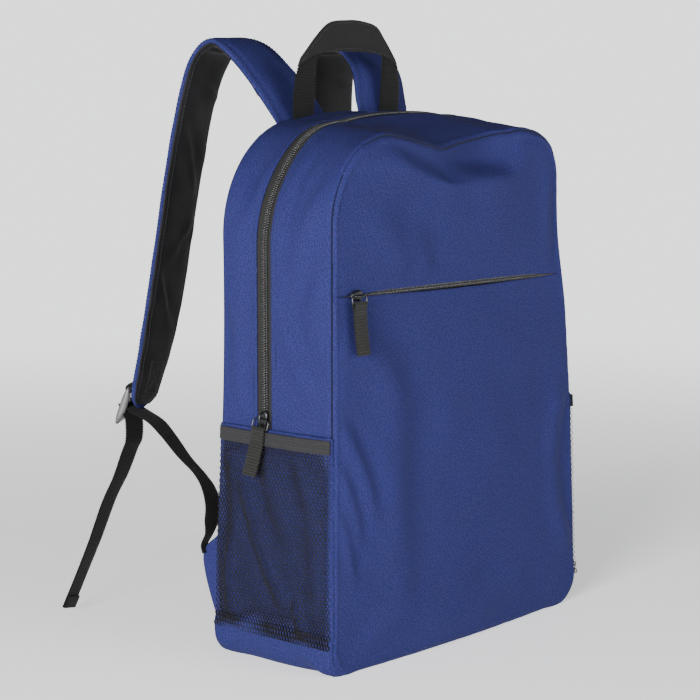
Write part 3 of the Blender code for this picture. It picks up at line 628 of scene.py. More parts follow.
def dive(points, upper):
    """Adds the strip of seam allowance that turns into the body at the three sewn edges."""
    step = 0.0016

    def inwards(row):
        middle = np.array([0.0, 0.0, 0.2])
        towards = (middle - row) * np.array([1, 0, 1])
        return row + unit(towards) * step + np.array([0, 0.0016, 0])

    left, right = inwards(points[:, :1]), inwards(points[:, -1:])
    points = np.concatenate([left, points, right], axis=1)
    if upper:
        return np.concatenate([points, inwards(points[-1:])])
    return np.concatenate([inwards(points[:1]), points])


# ---------------------------------------------------------------- gussets and base
LEFT_FRONT_FOLDS = (           # (depth, level) on the left side, in front of the zip
    ((-0.050, 0.372), (-0.022, 0.300), 0.009, 0.0024, 0.003),
    ((-0.020, 0.392), (-0.012, 0.330), 0.006, -0.0022, 0.001),
    ((-0.013, 0.282), (-0.054, 0.222), 0.008, -0.0024, 0.003),
    ((-0.010, 0.262), (-0.040, 0.205), 0.007, 0.0018, 0.003),
    ((-0.045, 0.330), (-0.040, 0.240), 0.010, 0.0016, -0.004),
    ((-0.055, 0.300), (-0.030, 0.268), 0.007, 0.0014, 0.002),
)
LEFT_REAR_FOLDS = (
    ((0.044, 0.400), (0.020, 0.345), 0.010, -0.0026, 0.002),
    ((0.020, 0.385), (0.032, 0.330), 0.008, 0.0024, -0.002),
    ((0.040, 0.345), (0.026, 0.235), 0.012, 0.0022, 0.005),
    ((0.052, 0.300), (0.036, 0.200), 0.009, 0.0014, -0.003),
    ((0.022, 0.300), (0.026, 0.195), 0.006, -0.0010, 0.002),
)


def wall_folds(u, y, z, near):
    """Folds of the gusset: those of the left side, and their mirror, changed, on the right."""
    left = creases(y, z, LEFT_FRONT_FOLDS if near else LEFT_REAR_FOLDS)
    right = creases(y, z - 0.012, LEFT_FRONT_FOLDS if near else LEFT_REAR_FOLDS) * 0.8
    top = 0.0008 * ripple(u * 0.05, y, 0.060, 21)
    sides = np.where(u < 5.3, left, np.where(u > 6.7, right, 0))
    return sides + top * ease(4.2, 5.2, u) * (1 - ease(6.8, 7.8, u)) + 0.0005 * ripple(z, y, 0.05, 22)


def gusset(name, near):
    """The strip of wall before or behind the main zip, folded under along the zip."""
    places = np.concatenate([
        np.linspace(2.965, 4, 76)[:-1], np.linspace(4, 5, 56)[:-1], np.linspace(5, 7, 60)[:-1],
        np.linspace(7, 8, 56)[:-1], np.linspace(8, 9.035, 76)])
    if near:
        start, end, count = FRONT_Y + SEAM, ZIP_Y - ZIP_OPEN, 30
    else:
        start, end, count = BACK_Y - SEAM, ZIP_Y + ZIP_OPEN, 26
    t = np.linspace(0, 1, count) ** 1.15
    y = np.repeat((start + (end - start) * t)[None], len(places), 0)
    u = np.repeat(places[:, None], count, 1)
    from_seam, from_zip = np.abs(y - start), np.abs(y - end)
    _, z, _, _ = outline(u, y)
    run = np.repeat(lengths(wall(places, np.full(len(places), start)))[:, None], count, 1)
    quiet = ease(0.0, 0.010, from_seam) * ease(0.0, 0.008, from_zip)
    lift = (wall_folds(u, y, z, near) * quiet + seam_roll(from_seam) + pucker(run, from_seam, 31)
            + pucker(run + 0.3, from_zip, 32) * 0.6 + 0.0004 * np.exp(-(from_zip / 0.003) ** 2))
    towards = math.copysign(1, end - start)
    columns = [(y[:, k], lift[:, k]) for k in range(count)]
    inner = [(y[:, 0] + towards * 0.0016, lift[:, 0] - 0.0016)]
    last = lift[:, -1]
    fold = [(y[:, -1] + towards * dy, last + dz) for dy, dz in
            ((0.0004, -0.0004), (0.0002, -0.0010), (-0.0010, -0.0014), (-0.0040, -0.0015))]
    profile = inner + columns + fold
    points = np.stack([wall(places, depth, offset) for depth, offset in profile], 1)
    return add_cloth(name, slump(points) if near else slump(points)[::-1], NAVY)


BASE_FOLDS = (                 # (run down from the bottom's middle, depth)
    ((0.125, 0.058), (0.098, 0.010), 0.006, -0.0030, 0.003),
    ((0.150, 0.060), (0.170, 0.012), 0.010, 0.0024, 0.004),
    ((0.140, -0.055), (0.165, -0.020), 0.008, 0.0018, -0.003),
    ((0.060, -0.056), (0.080, 0.010), 0.010, 0.0016, 0.004),
)


def base():
    """One piece from the left zip end down round the bottom to the right zip end."""
    half = np.concatenate([np.linspace(0, 1, 44)[:-1], np.linspace(1, 2, 26)[:-1],
                           np.linspace(2, 3.012, 64)])
    places = np.concatenate([-half[::-1], half[1:]])
    start, end, count = FRONT_Y + SEAM, BACK_Y - SEAM, 58
    t = np.linspace(-1, 1, count)
    y = (start + end) / 2 + (end - start) / 2 * np.sign(t) * (1 - (1 - np.abs(t)) ** 1.2)
    u, y = np.meshgrid(places, y, indexing="ij")
    from_seam = np.minimum(y - start, end - y)
    run = np.repeat(lengths(wall(places, np.zeros(len(places))))[:, None], count, 1)
    run = run - run[len(half) - 1, 0]
    quiet = ease(0.0, 0.009, from_seam)
    lift = (creases(np.abs(run), y, BASE_FOLDS) * np.where(u > 0, 1.0, 0.8) * quiet
            + 0.0006 * ripple(run, y, 0.06, 41) * quiet + seam_roll(from_seam)
            + pucker(run, from_seam, 42) + 0.0011 * ease(2.8, 2.98, np.abs(u)))
    inner_y = np.concatenate([y[:, :1] + 0.0016, y, y[:, -1:] - 0.0016], 1)
    lift = np.concatenate([lift[:, :1] - 0.0016, lift, lift[:, -1:] - 0.0016], 1)
    u = np.concatenate([u[:, :1], u, u[:, -1:]], 1)
    points = wall(u, inner_y, lift)
    points = points[:, ::-1]
    for end_row, flip in ((points[0], False), (points[-1], True)):
        out = np.sign(end_row[:, :1]) * np.array([[1.0, 0, 0]])
        fold = np.array([end_row + out * dx + np.array([0, 0, dz]) for dx, dz in
                         ((-0.0004, 0.0004), (-0.0009, 0.0002), (-0.0010, -0.0030))])
        points = np.concatenate([points, fold]) if flip else np.concatenate([fold[::-1], points])
    return add_cloth("base_panel", slump(points), NAVY)


# ---------------------------------------------------------------- seams
def outline_ring(y, inset, count=220, start=0.0, end=12.0):
    places = np.linspace(start, end, count)
    return slump(wall(places, np.full(count, y), -inset))


def seam_rope(name, y, towards):
    """The bound seam allowance just inside a seam, a dark tube between the fabrics: its dark colour is partly
    the binding's own and partly painted shade, standing in for the shade in the seam's groove.
    """
    path = outline_ring(y + towards * 0.0020, 0.0020, 400)[:-1]
    points, faces = tube(path, 0.0008, 6, closed=True, reference=(0, 1, 0))
    return add_mesh(name, points, faces, SEAM_BINDING_AND_SHADE)


# ---------------------------------------------------------------- zips
def coil_chain(name, path, out, across, half=0.00175, tall=0.00100, gap=0.0013):
    """Two interlocked nylon coils along a path; across points from one tape to the other."""
    bundle = Bundle()
    run = lengths(path)
    turns = int(run[-1] / COIL_PITCH)
    for side in (-1, 1):
        phase = 0 if side < 0 else math.pi
        steps = np.linspace(0, turns, turns * 9 + 1)
        spots = steps * COIL_PITCH
        centre = np.stack([np.interp(spots, run, path[:, k]) for k in range(3)], -1)
        up = np.stack([np.interp(spots, run, out[:, k]) for k in range(3)], -1)
        wide = np.stack([np.interp(spots, run, across[:, k]) for k in range(3)], -1)
        turn = steps * 2 * math.pi + phase
        swing = np.cos(turn)[:, None]
        rise = np.sin(turn)[:, None]
        helix = centre + wide * (side * gap + half * swing) + up * tall * rise
        along = unit(np.gradient(centre, axis=0))
        points, faces = tube_about(helix, along, 0.00046, 6)
        bundle.add(points, faces)
    return bundle.build(name, COIL)


def tube_about(path, axis, radius, sides):
    """A tube along a helix, its rings turned with the helix's own axis."""
    along = unit(np.gradient(path, axis=0))
    first = unit(np.cross(along, axis))
    second = np.cross(along, first)
    angles = 2 * math.pi * np.arange(sides) / sides
    ring = (first[:, None] * np.cos(angles)[None, :, None]
            + second[:, None] * np.sin(angles)[None, :, None])
    return path[:, None] + ring * radius, ring_faces(len(path), sides, False)


def main_zip():
    places = np.concatenate([np.linspace(2.95, 4, 60)[:-1], np.linspace(4, 5, 50)[:-1],
                             np.linspace(5, 7, 50)[:-1], np.linspace(7, 8, 50)[:-1],
                             np.linspace(8, 9.05, 60)])
    middle = np.full(len(places), ZIP_Y)
    path = slump(wall(places, middle, COIL_CENTRE))
    above = slump(wall(places, middle, COIL_CENTRE + 0.001))
    out = unit(above - path)
    across = np.tile([0.0, 1.0, 0.0], (len(places), 1))
    chain = coil_chain("main_zip_chain", path, out, across)
    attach(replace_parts(chain, "main_zip_coil"), "bag")
    for name, side in (("front", -1), ("rear", 1)):
        depths = np.array([0.0006, 0.0024, 0.0042, 0.0056, 0.0078, 0.0105]) * side
        bow = np.array([0.0, 0.0, 0.0004, 0.0011, 0.0008, 0.0])
        grid = np.stack([wall(places, middle + d, TAPE_TOP + b) for d, b in zip(depths, bow)], 1)
        grid = slump(grid)
        tape = add_cloth(f"main_tape_{name}", grid if side < 0 else grid[::-1], TAPE, 0.0006)
        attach(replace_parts(tape, f"main_zip_tape_{name}"), "bag")
    stitches = Bundle()
    for side in (-1, 1):
        beside = np.full(len(places), ZIP_Y + side * (ZIP_OPEN + 0.0040))
        path = slump(wall(places, beside, 0.0003))
        over = slump(wall(places, beside, 0.0013))
        add_stitches(stitches, path, unit(over - path))
    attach(stitches.build("main_zip_stitching", NAVY_THREAD), "bag")


def pocket_zip():
    x = np.linspace(-POCKET_ZIP_HALF + 0.002, POCKET_ZIP_HALF - 0.002, 90)
    level = FRONT_Y + 0.0010 + 0.0026 * np.abs(x / POCKET_ZIP_HALF) ** 5
    path = slump(np.stack([x, level - 0.0004, np.full_like(x, POCKET_ZIP_Z + 0.0004)], -1))
    out = np.tile([0.0, -1.0, 0.0], (len(x), 1))
    across = np.tile([0.0, 0.0, 1.0], (len(x), 1))
    chain = coil_chain("pocket_zip_chain", path, out, across, half=0.0012, gap=0.0010)
    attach(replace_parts(chain, "pocket_zip_coil"), "bag")
    for name, side in (("upper", 1), ("lower", -1)):
        heights = np.array([0.0006, 0.0020, 0.0034, 0.0052, 0.0085]) * side
        grid = np.stack([np.stack([x, level + 0.0014, np.full_like(x, POCKET_ZIP_Z + h)], -1)
                         for h in heights], 1)
        tape = add_cloth(f"pocket_tape_{name}", slump(grid if side > 0 else grid[::-1]), BLACK_CLOTH,
                         0.0006)
        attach(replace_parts(tape, f"pocket_zip_tape_{name}"), "bag")


def zip_stops():
    """Small clamps over the ends of both chains, under the fabric at the pocket's ends."""
    for label, side in SIDES:
        line = np.array([[0, 0, z] for z in (-0.0014, -0.0011, 0.0011, 0.0014)])
        half = np.array([0.55, 1.0, 1.0, 0.55])
        points, faces = loft(line + np.array([side * (HALF - 0.0008), ZIP_Y, ZIP_END_Z + 0.0024]),
                             0.0009 * half, 0.0030 * half, (1, 0, 0), (0, 1, 0))
        stop = add_mesh(f"main_chain_stop_{label}", slump(points), faces, DARK_METAL)
        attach(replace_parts(stop, f"main_zip_stop_{label}"), "bag")
        points, faces = loft(line + np.array([side * (POCKET_ZIP_HALF - 0.0035), FRONT_Y + 0.0034,
                                              POCKET_ZIP_Z]),
                             0.0012 * half, 0.0009 * half, (1, 0, 0), (0, 1, 0))
        stop = add_mesh(f"pocket_chain_stop_{label}", slump(points), faces, DARK_METAL)
        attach(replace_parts(stop, f"pocket_zip_stop_{label}"), "bag")


# ---------------------------------------------------------------- webbing
def band_frames(route, widths, twists, per_span, sign=1):
    """A band's spine with its across and outward directions, as the CAD sets them."""
    spine = smooth_route([(sign * x, y, z) for x, y, z in route], per_span)
    along = unit(np.gradient(spine, axis=0))
    across = unit(np.array([[1.0, 0, 0]]) - along * along[:, :1])
    turn = np.radians(spread(twists, len(spine)))[:, None] * sign
    across = across * np.cos(turn) + np.cross(along, across) * np.sin(turn)
    return spine, across, np.cross(across, along), spread(widths, len(spine)), along


def webbing(name, spine, across, outward, widths, material=None, thickness=0.0015,
            rib=RIB_PITCH, depth=0.22, columns=9, scallop=0.0003):
    """Woven tape with ribs across it and slightly scalloped edges."""
    run = lengths(spine)
    count = max(int(run[-1] / rib * 6), 8)
    spots = np.linspace(0, run[-1], count)

    def even(values):
        return np.stack([np.interp(spots, run, values[:, k]) for k in range(3)], -1)

    centre, side, out = even(spine), unit(even(across)), unit(even(outward))
    width = np.interp(spots, run, widths)
    wave = np.cos(2 * math.pi * spots / rib)
    place = np.sin(np.linspace(-1, 1, columns) * math.pi / 2)
    swell = np.clip(1 - np.abs(place) ** 5, 0, 1) ** 0.5
    spot = np.concatenate([place, place[-2:0:-1]])
    high = np.concatenate([swell, -swell[-2:0:-1]])
    across_by = spot[None] * (width[:, None] / 2 + scallop * wave[:, None] * (np.abs(spot) > 0.95))
    out_by = high[None] * thickness / 2 * (1 + depth * wave[:, None])
    points = centre[:, None] + side[:, None] * across_by[..., None] + out[:, None] * out_by[..., None]
    ring = len(spot)
    uv = np.stack(np.broadcast_arrays(spots[:, None], across_by), -1)
    return add_mesh(name, points, ring_faces(count, ring, False), material or WEBBING, uv)


# ---------------------------------------------------------------- side pockets
NET_GAP = 0.0009               # least room between the mesh and the side
RIGHT_NET_SHARE = 0.15         # the right mesh lies this much flatter


def pocket_stand(y, z, side):
    """How far the mesh stands off the body's side, and its folds."""
    t = np.clip((z - MESH_LOW) / (MESH_HIGH - MESH_LOW), 0, 1)
    u = np.clip((y - (FRONT_Y + 0.001)) / (BACK_Y - FRONT_Y - 0.0042), 0, 1)
    belly = (0.0026 + 0.0050 * np.sin(math.pi * t)) * np.minimum(6 * t, 1)
    stand = NET_GAP + belly * np.clip(np.sin(math.pi * u), 0, 1) ** 0.6
    folds = POCKET_FOLDS if side < 0 else [((a[0] * 0.8, a[1] + 0.01), (b[0] * 0.8, b[1] + 0.01),
                                            w, h * 0.8, -bend) for a, b, w, h, bend in POCKET_FOLDS]
    quiet = ease(0.0, 0.10, t) * (1 - ease(0.93, 1.0, t)) * ease(0.0, 0.05, u) * ease(0.0, 0.05, 1 - u)
    wrinkles = 0.0006 * ripple(y * 1.3, z, 0.034, 51) + 0.0002 * ripple(y, z, 0.016, 52)
    stand_off = stand + np.maximum((creases(y, z, folds) + wrinkles) * quiet, -0.0006 - belly * 0.6)
    return stand_off if side < 0 else NET_GAP + RIGHT_NET_SHARE * (stand_off - NET_GAP)


POCKET_FOLDS = (
    ((0.030, 0.152), (-0.018, 0.045), 0.0066, 0.0052, 0.003),
    ((0.038, 0.100), (0.040, 0.022), 0.0060, 0.0052, 0.002),
    ((0.050, 0.085), (0.049, 0.024), 0.0046, 0.0034, 0.001),
    ((-0.029, 0.056), (-0.031, 0.023), 0.0050, 0.0046, 0.001),
    ((-0.044, 0.120), (-0.050, 0.040), 0.0080, 0.0026, 0.002),
    ((0.008, 0.166), (-0.024, 0.100), 0.0070, 0.0026, 0.003),
    ((-0.026, 0.167), (-0.042, 0.125), 0.0060, 0.0022, 0.001),
    ((0.046, 0.165), (0.034, 0.095), 0.0080, 0.0028, -0.003),
)


def gather(y, z, folds):
    """Draws the mesh together along its folds, so that its cells crowd there."""
    shift = np.zeros_like(y)
    for (y0, z0), (y1, z1), width, height, _ in folds:
        s = (z - z0) / (z1 - z0)
        line = y0 + (y1 - y0) * s
        fade = ease(-0.1, 0.3, s) * (1 - ease(0.8, 1.2, s))
        d = (y - line) / (width * 1.6)
        shift = shift - np.minimum(height * 0.45, 0.0012) * 1.5 * d * np.exp(-d * d) * fade
    return y + shift


def hexagons(wide, tall, cell):
    """Corners of the holes of a hexagonal net, and the faces of its strands, laid flat."""
    row = cell * math.sqrt(3) / 2
    across, down = int(wide / cell), int(tall / row)
    draw = np.random.default_rng(61)
    angle = np.radians(30 + 60 * np.arange(6))
    corner = np.stack([np.cos(angle), np.sin(angle)], -1) * cell / math.sqrt(3)
    centres = [((i + 0.5 + 0.5 * (j % 2)) * cell, (j + 0.55) * row)
               for j in range(down) for i in range(across - j % 2)]
    centres = np.array(centres)
    centres *= np.array([wide / (across * cell), tall / ((down + 0.1) * row)])
    outer = centres[:, None] + corner[None]
    hole = draw.uniform(0.79, 0.86, len(centres))
    inner = centres[:, None] + corner[None] * hole[:, None, None]
    keys = np.round(outer.reshape(-1, 2) / 1e-5).astype(int)
    keys[:, 0] = np.round(keys[:, 0] / 20)
    keys[:, 1] = np.round(keys[:, 1] / 20)
    _, first, place = np.unique(keys, axis=0, return_index=True, return_inverse=True)
    place = place.reshape(-1, 6)
    shared = outer.reshape(-1, 2)[first]
    own = len(shared) + np.arange(len(centres) * 6).reshape(-1, 6)
    faces = []
    for k in range(6):
        n = (k + 1) % 6
        faces.append(np.stack([place[:, k], place[:, n], own[:, n], own[:, k]], -1))
    return np.concatenate([shared, inner.reshape(-1, 2)]), np.concatenate(faces)


def net(name, side, low, high, lift, cell=0.0029):
    """A hexagonal mesh over a side pocket between two levels."""
    near, far = FRONT_Y + 0.0012, BACK_Y - 0.0030
    flat, faces = hexagons(far - near, high - low, cell)
    y, z = near + flat[:, 0], low + flat[:, 1]
    y = gather(y, z, POCKET_FOLDS)
    stand = pocket_stand(y, z, side) + lift
    u = 2 + (z - BOTTOM_RADIUS) / (ZIP_END_Z - BOTTOM_RADIUS)
    low_turn = np.arccos(np.clip((BOTTOM_RADIUS - z) / BOTTOM_RADIUS, -1, 1))
    u = np.where(z < BOTTOM_RADIUS, 1 + low_turn / (math.pi / 2), u)
    x, zz, nx, nz = outline(u, y)
    points = np.stack([-np.abs(x) - np.abs(nx) * stand, y, zz + nz * stand], -1)
    if side > 0:
        points[:, 0] *= -1
    points = slump(points)
    faces = faces if side > 0 else faces[:, ::-1]
    piece = add_mesh(name, points, faces.tolist(), NET)
    shell = piece.modifiers.new("strands", "SOLIDIFY")
    shell.thickness = 0.0005
    shell.offset = 1.0
    bpy.context.view_layer.update()
    made = bpy.data.meshes.new_from_object(piece.evaluated_get(bpy.context.evaluated_depsgraph_get()))
    piece.modifiers.clear()
    piece.data = made
    return piece


def side_pocket(label, side):
    mesh = net(f"mesh_side_pocket_{label}", side, MESH_LOW, MESH_HIGH, 0.0)
    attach(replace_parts(mesh, f"mesh_pocket_{label}"), "bag")
    hem = net(f"mesh_hem_{label}", side, MESH_LOW, MESH_LOW + 0.0085, 0.0009, 0.0027)
    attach(hem, "bag")
    count = 160
    y = np.linspace(FRONT_Y + 0.0008, BACK_Y - 0.0026, count)
    rows = np.linspace(0, 1, 25)
    profile = 0.0009 + 0.0004 * np.abs(np.cos(rows * math.pi * 5.5)) ** 0.7
    profile[[0, -1]] -= 0.0006
    grid = []
    for t, thick in zip(rows, profile):
        z = MESH_HIGH - 0.0012 + (ELASTIC_HIGH - MESH_HIGH + 0.0012) * t + 0.0005 * ripple(y, y * 0, 0.05, 71)
        stand = pocket_stand(y, np.full_like(y, MESH_HIGH), side) + thick + 0.0004
        x = side * (HALF + stand + 0.0003 * ripple(y, y * 0, 0.012, 72))
        grid.append(np.stack([x, y, z], -1))
    grid = slump(np.array(grid))
    elastic = add_cloth(f"elastic_mouth_{label}", grid if side < 0 else grid[::-1], ELASTIC, 0.0016,
                        uv=grid_uv(grid))
    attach(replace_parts(elastic, f"elastic_binding_{label}"), "bag")
    stitches = Bundle()
    for row in (7, 18):
        path = grid[row]
        normals = np.tile([side * 1.0, 0, 0], (count, 1))
        add_stitches(stitches, path + normals * 0.0001, normals, 0.0026, 0.0019, 0.00026)
    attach(stitches.build(f"elastic_stitching_{label}", BLACK_THREAD), "bag")


# ---------------------------------------------------------------- straps
STRAP_ROUTE = (
    (0.0480, 0.0606, 0.4085), (0.050, 0.0670, 0.4215), (0.057, 0.0880, 0.4500),
    (0.064, 0.1100, 0.4720), (0.070, 0.1275, 0.4765), (0.076, 0.1410, 0.4620),
    (0.082, 0.1500, 0.4300), (0.089, 0.1570, 0.3800), (0.095, 0.1625, 0.3300),
    (0.101, 0.1675, 0.2800), (0.1072, 0.1740, 0.2330), (0.1125, 0.1807, 0.1985),
    (0.1165, 0.1858, 0.1762),
)
RIGHT_STRAP_RISE = (            # the right strap stands steeper above its seam
    (0.0500, 0.0606, 0.4085), (0.0520, 0.0648, 0.4290), (0.0560, 0.0755, 0.4570),
    (0.0640, 0.1040, 0.4755),
)
STRAP_WIDTHS = (0.060, 0.062, 0.058, 0.054, 0.050, 0.049, 0.049, 0.049, 0.049, 0.048, 0.046,
                0.040, 0.024)
STRAP_TWISTS = (0, 0, 0, 1, 3, 6, 9, 10, 10, 10, 11, 13, 15)
STRAP_HALF_THICK = 0.0041
ADJUSTER_ROUTE = (
    (0.1172, 0.1955, 0.1770), (0.1180, 0.1830, 0.1735), (0.1210, 0.1610, 0.1680),
    (0.1250, 0.1410, 0.1580), (0.1300, 0.1185, 0.1450), (0.1360, 0.0940, 0.1345),
    (0.1400, 0.0805, 0.1260), (0.1440, 0.0720, 0.1150), (0.1470, 0.0705, 0.1020),
    (0.1485, 0.0715, 0.0920), (0.1490, 0.0765, 0.0830), (0.1488, 0.0755, 0.0760),
)
ADJUSTER_WIDTHS = (0.020, 0.020, 0.020, 0.020, 0.020, 0.020, 0.020, 0.019, 0.016, 0.010, 0.008,
                   0.008)
ADJUSTER_TWISTS = (0, 0, 4, 10, 16, 20, 16, 8, 0, 0, 0, 0)
TAIL_TWISTS = (0, 0, 0, 2, 5, 8, 11, 14, 16, 16)
TAIL_ROUTE = (
    (0.1184, 0.1992, 0.1795), (0.1187, 0.1945, 0.1730), (0.1190, 0.1902, 0.1665),
    (0.1210, 0.1882, 0.1510), (0.1230, 0.1920, 0.1400), (0.1270, 0.1990, 0.1190),
    (0.1320, 0.2085, 0.0970), (0.1390, 0.2190, 0.0630), (0.1470, 0.2295, 0.0305),
    (0.1550, 0.2365, 0.0050),
)
LOCK_CENTRE = (0.118, 0.2015, 0.1790)
LOCK_TILT, LOCK_TURN = math.radians(20), math.radians(35)
LOCK_HALF_LONG, LOCK_HALF_WIDE = 0.0170, 0.0135


def at_grid(grid, i, j):
    """A point of a grid at a fractional row and column."""
    i = min(max(i, 0), grid.shape[0] - 1.001)
    j = min(max(j, 0), grid.shape[1] - 1.001)
    a, b = int(i), int(j)
    s, t = i - a, j - b
    return ((1 - s) * ((1 - t) * grid[a, b] + t * grid[a, b + 1])
            + s * ((1 - t) * grid[a + 1, b] + t * grid[a + 1, b + 1]))


def strap(label, sign):
    route = STRAP_ROUTE if sign < 0 else RIGHT_STRAP_RISE + STRAP_ROUTE[4:]
    spine, across, out, widths, _ = band_frames(route, STRAP_WIDTHS, STRAP_TWISTS, 14, sign)
    run = lengths(spine)
    end = run[-1]
    tip = end - run
    widths = widths + 0.0012 * ripple(run, run * 0, 0.09, 81 + sign)
    widths = np.where(tip < 0.011, np.maximum(0.026, widths) * np.sqrt(
        np.clip(1 - (1 - tip / 0.011) ** 2, 0.02, 1)), np.maximum(0.026, widths))
    ends = 0.45 + 0.55 * ease(0.0, 0.035, run) * ease(0.0, 0.016, tip)
    place = np.sin(np.linspace(-1, 1, 25) * math.pi / 2)
    spot = np.concatenate([place, place[-2:0:-1]])
    upper = np.concatenate([np.ones(25), -np.ones(23)])
    crown = np.clip(1 - np.abs(spot) ** 3.6, 0, 1) ** 0.5
    channel = 1 - 0.30 * np.exp(-((np.abs(spot) - 0.80) / 0.055) ** 2)
    high = STRAP_HALF_THICK * upper * crown * channel
    dips = 0.0004 * ripple(run[:, None], spot[None] * 0.02, 0.035, 82) * crown[None]
    by = spot[None] * widths[:, None] / 2
    rise = high[None] * ends[:, None] + dips * (upper[None] > 0)
    points = spine[:, None] + across[:, None] * by[..., None] + out[:, None] * rise[..., None]
    uv = np.stack(np.broadcast_arrays(run[:, None], by), -1)
    pad = add_mesh(f"strap_pad_{label}", points, ring_faces(len(spine), len(spot), False), NAVY, uv)
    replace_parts(pad, f"strap_{label}_cover", f"strap_{label}_foam")
    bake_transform(pad)

    columns = np.linspace(-0.965, 0.965, 41)
    inner_crown = np.clip(1 - np.abs(columns) ** 3.6, 0, 1) ** 0.5
    keep = (run > 0.004) & (tip > 0.0035)
    wrinkle = (0.0007 * ripple(run[:, None], columns[None] * 0.012, 0.022, 83)
               + creases(run[:, None], columns[None] * 0.024, STRAP_CREASES) * (1 if sign < 0 else 0.8))
    arc = np.abs(columns[None]) < 0.9
    drop = (STRAP_HALF_THICK * inner_crown[None] * ends[:, None] + 0.0006
            + np.maximum(wrinkle + 0.0004, 0) * np.where(arc, 1, 0.2) * ends[:, None])
    by = columns[None] * widths[:, None] / 2
    face = spine[:, None] + across[:, None] * by[..., None] - out[:, None] * drop[..., None]
    face = face[keep]
    lining = add_cloth(f"strap_lining_{label}", face, BLACK_CLOTH, 0.0005)
    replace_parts(lining, f"strap_{label}_lining")
    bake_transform(lining)

    rows = face.shape[0]
    spacing = end / len(run)
    first, last = rows - 0.050 / spacing, rows - 0.020 / spacing
    left_j, right_j = 12, 30
    corners = ((first, left_j), (first, right_j), (last, right_j), (last, left_j))
    box_stitches = Bundle()
    pairs = [(corners[k], corners[(k + 1) % 4]) for k in range(4)]
    pairs += [(corners[0], corners[2]), (corners[1], corners[3])]
    for (i0, j0), (i1, j1) in pairs:
        path = np.array([at_grid(face, i0 + (i1 - i0) * t, j0 + (j1 - j0) * t)
                         for t in np.linspace(0, 1, 14)])
        towards = np.array([-out[int(min(i0 + (i1 - i0) * t, rows - 1))] for t in np.linspace(0, 1, 14)])
        add_stitches(box_stitches, path + towards * 0.0002, towards, 0.0028, 0.0022, 0.0003)
    for j in (3, 37):
        path, normals = face[6:-3, j], -out[keep][6:-3]
        add_stitches(box_stitches, path + normals * 0.0002, normals)
    sewn = box_stitches.build(f"strap_lining_stitching_{label}", BLACK_THREAD)
    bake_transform(sewn)
    edge_stitches = Bundle()
    for j in (3, 21):
        path, normals = points[6:-4, j], out[6:-4]
        add_stitches(edge_stitches, path + normals * 0.0002, normals)
    sewn = edge_stitches.build(f"strap_edge_stitching_{label}", NAVY_THREAD)
    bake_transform(sewn)


STRAP_CREASES = (              # (run from the root, place across)
    ((0.040, -0.022), (0.052, 0.022), 0.0030, 0.0016, 0.002),
    ((0.066, -0.022), (0.062, 0.022), 0.0026, 0.0018, 0.003),
    ((0.084, -0.020), (0.092, 0.022), 0.0034, 0.0020, -0.002),
    ((0.112, -0.022), (0.106, 0.018), 0.0030, 0.0018, 0.002),
    ((0.140, -0.018), (0.152, 0.022), 0.0036, 0.0014, 0.002),
    ((0.180, -0.016), (0.230, 0.012), 0.0044, 0.0014, 0.003),
    ((0.250, 0.016), (0.290, -0.012), 0.0040, 0.0013, 0.003),
    ((0.300, -0.018), (0.345, 0.010), 0.0036, 0.0014, -0.003),
)


ADJUSTER_CUT = 30              # spine ring where the upper length, made as its own piece, ends


def adjuster(label, sign):
    """The webbing from the lock to the tab, in two pieces: the upper length by the lock, and the rest."""
    spine, across, out, widths, _ = band_frames(ADJUSTER_ROUTE, ADJUSTER_WIDTHS, ADJUSTER_TWISTS, 10,
                                                sign)
    upper, lower = slice(0, ADJUSTER_CUT + 1), slice(ADJUSTER_CUT, None)
    top = webbing(f"adjuster_top_{label}", spine[upper], across[upper], out[upper], widths[upper],
                  thickness=0.0014, rib=0.0018, depth=0.16)
    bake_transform(top)
    piece = webbing(f"adjuster_strap_{label}", spine[lower], across[lower], out[lower],
                    widths[lower], thickness=0.0014, rib=0.0018, depth=0.16)
    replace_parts(piece, f"adjuster_webbing_{label}")
    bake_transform(piece)


def tail(label, sign):
    spine, across, out, widths, _ = band_frames(TAIL_ROUTE, (0.020, 0.0205), TAIL_TWISTS, 10, sign)
    piece = webbing(f"loose_tail_{label}", spine, across, out, widths, thickness=0.0014,
                    rib=0.0020, depth=0.16, scallop=0.0005)
    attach(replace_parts(piece, f"webbing_tail_{label}"), f"lock_{label}")
    run = lengths(spine)
    last = run > run[-1] - 0.0125
    lifted = spine[last] - out[last] * 0.0014
    hem = webbing(f"tail_hem_{label}", lifted, across[last], out[last], widths[last] + 0.0008,
                  thickness=0.0015, rib=0.0020, depth=0.16)
    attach(hem, f"lock_{label}")
    stitches = Bundle()
    row = np.linspace(-0.8, 0.8, 9)
    k = np.argmax(last) + 2
    for lift in (0.0008, -0.0022):
        path = spine[k] + across[k] * (row * 0.0098)[:, None] + out[k] * lift
        add_stitches(stitches, path, np.tile(out[k] * math.copysign(1, lift), (9, 1)), 0.0022, 0.0018)
    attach(stitches.build(f"tail_stitching_{label}", BLACK_THREAD),
            f"lock_{label}")


def loft(centres, half_a, half_b, a, b, sides=10, power=2.6):
    """A closed rounded bar whose section is a soft rectangle of half_a by half_b."""
    angles = 2 * math.pi * (np.arange(sides) + 0.5) / sides
    c, s = np.cos(angles), np.sin(angles)
    c = np.sign(c) * np.abs(c) ** (2 / power)
    s = np.sign(s) * np.abs(s) ** (2 / power)
    half_a = np.reshape(np.broadcast_to(half_a, len(centres)), (-1, 1, 1))
    half_b = np.reshape(np.broadcast_to(half_b, len(centres)), (-1, 1, 1))
    points = (np.array(centres)[:, None] + np.array(a) * c[None, :, None] * half_a
              + np.array(b) * s[None, :, None] * half_b)
    return points, ring_faces(len(centres), sides, False)


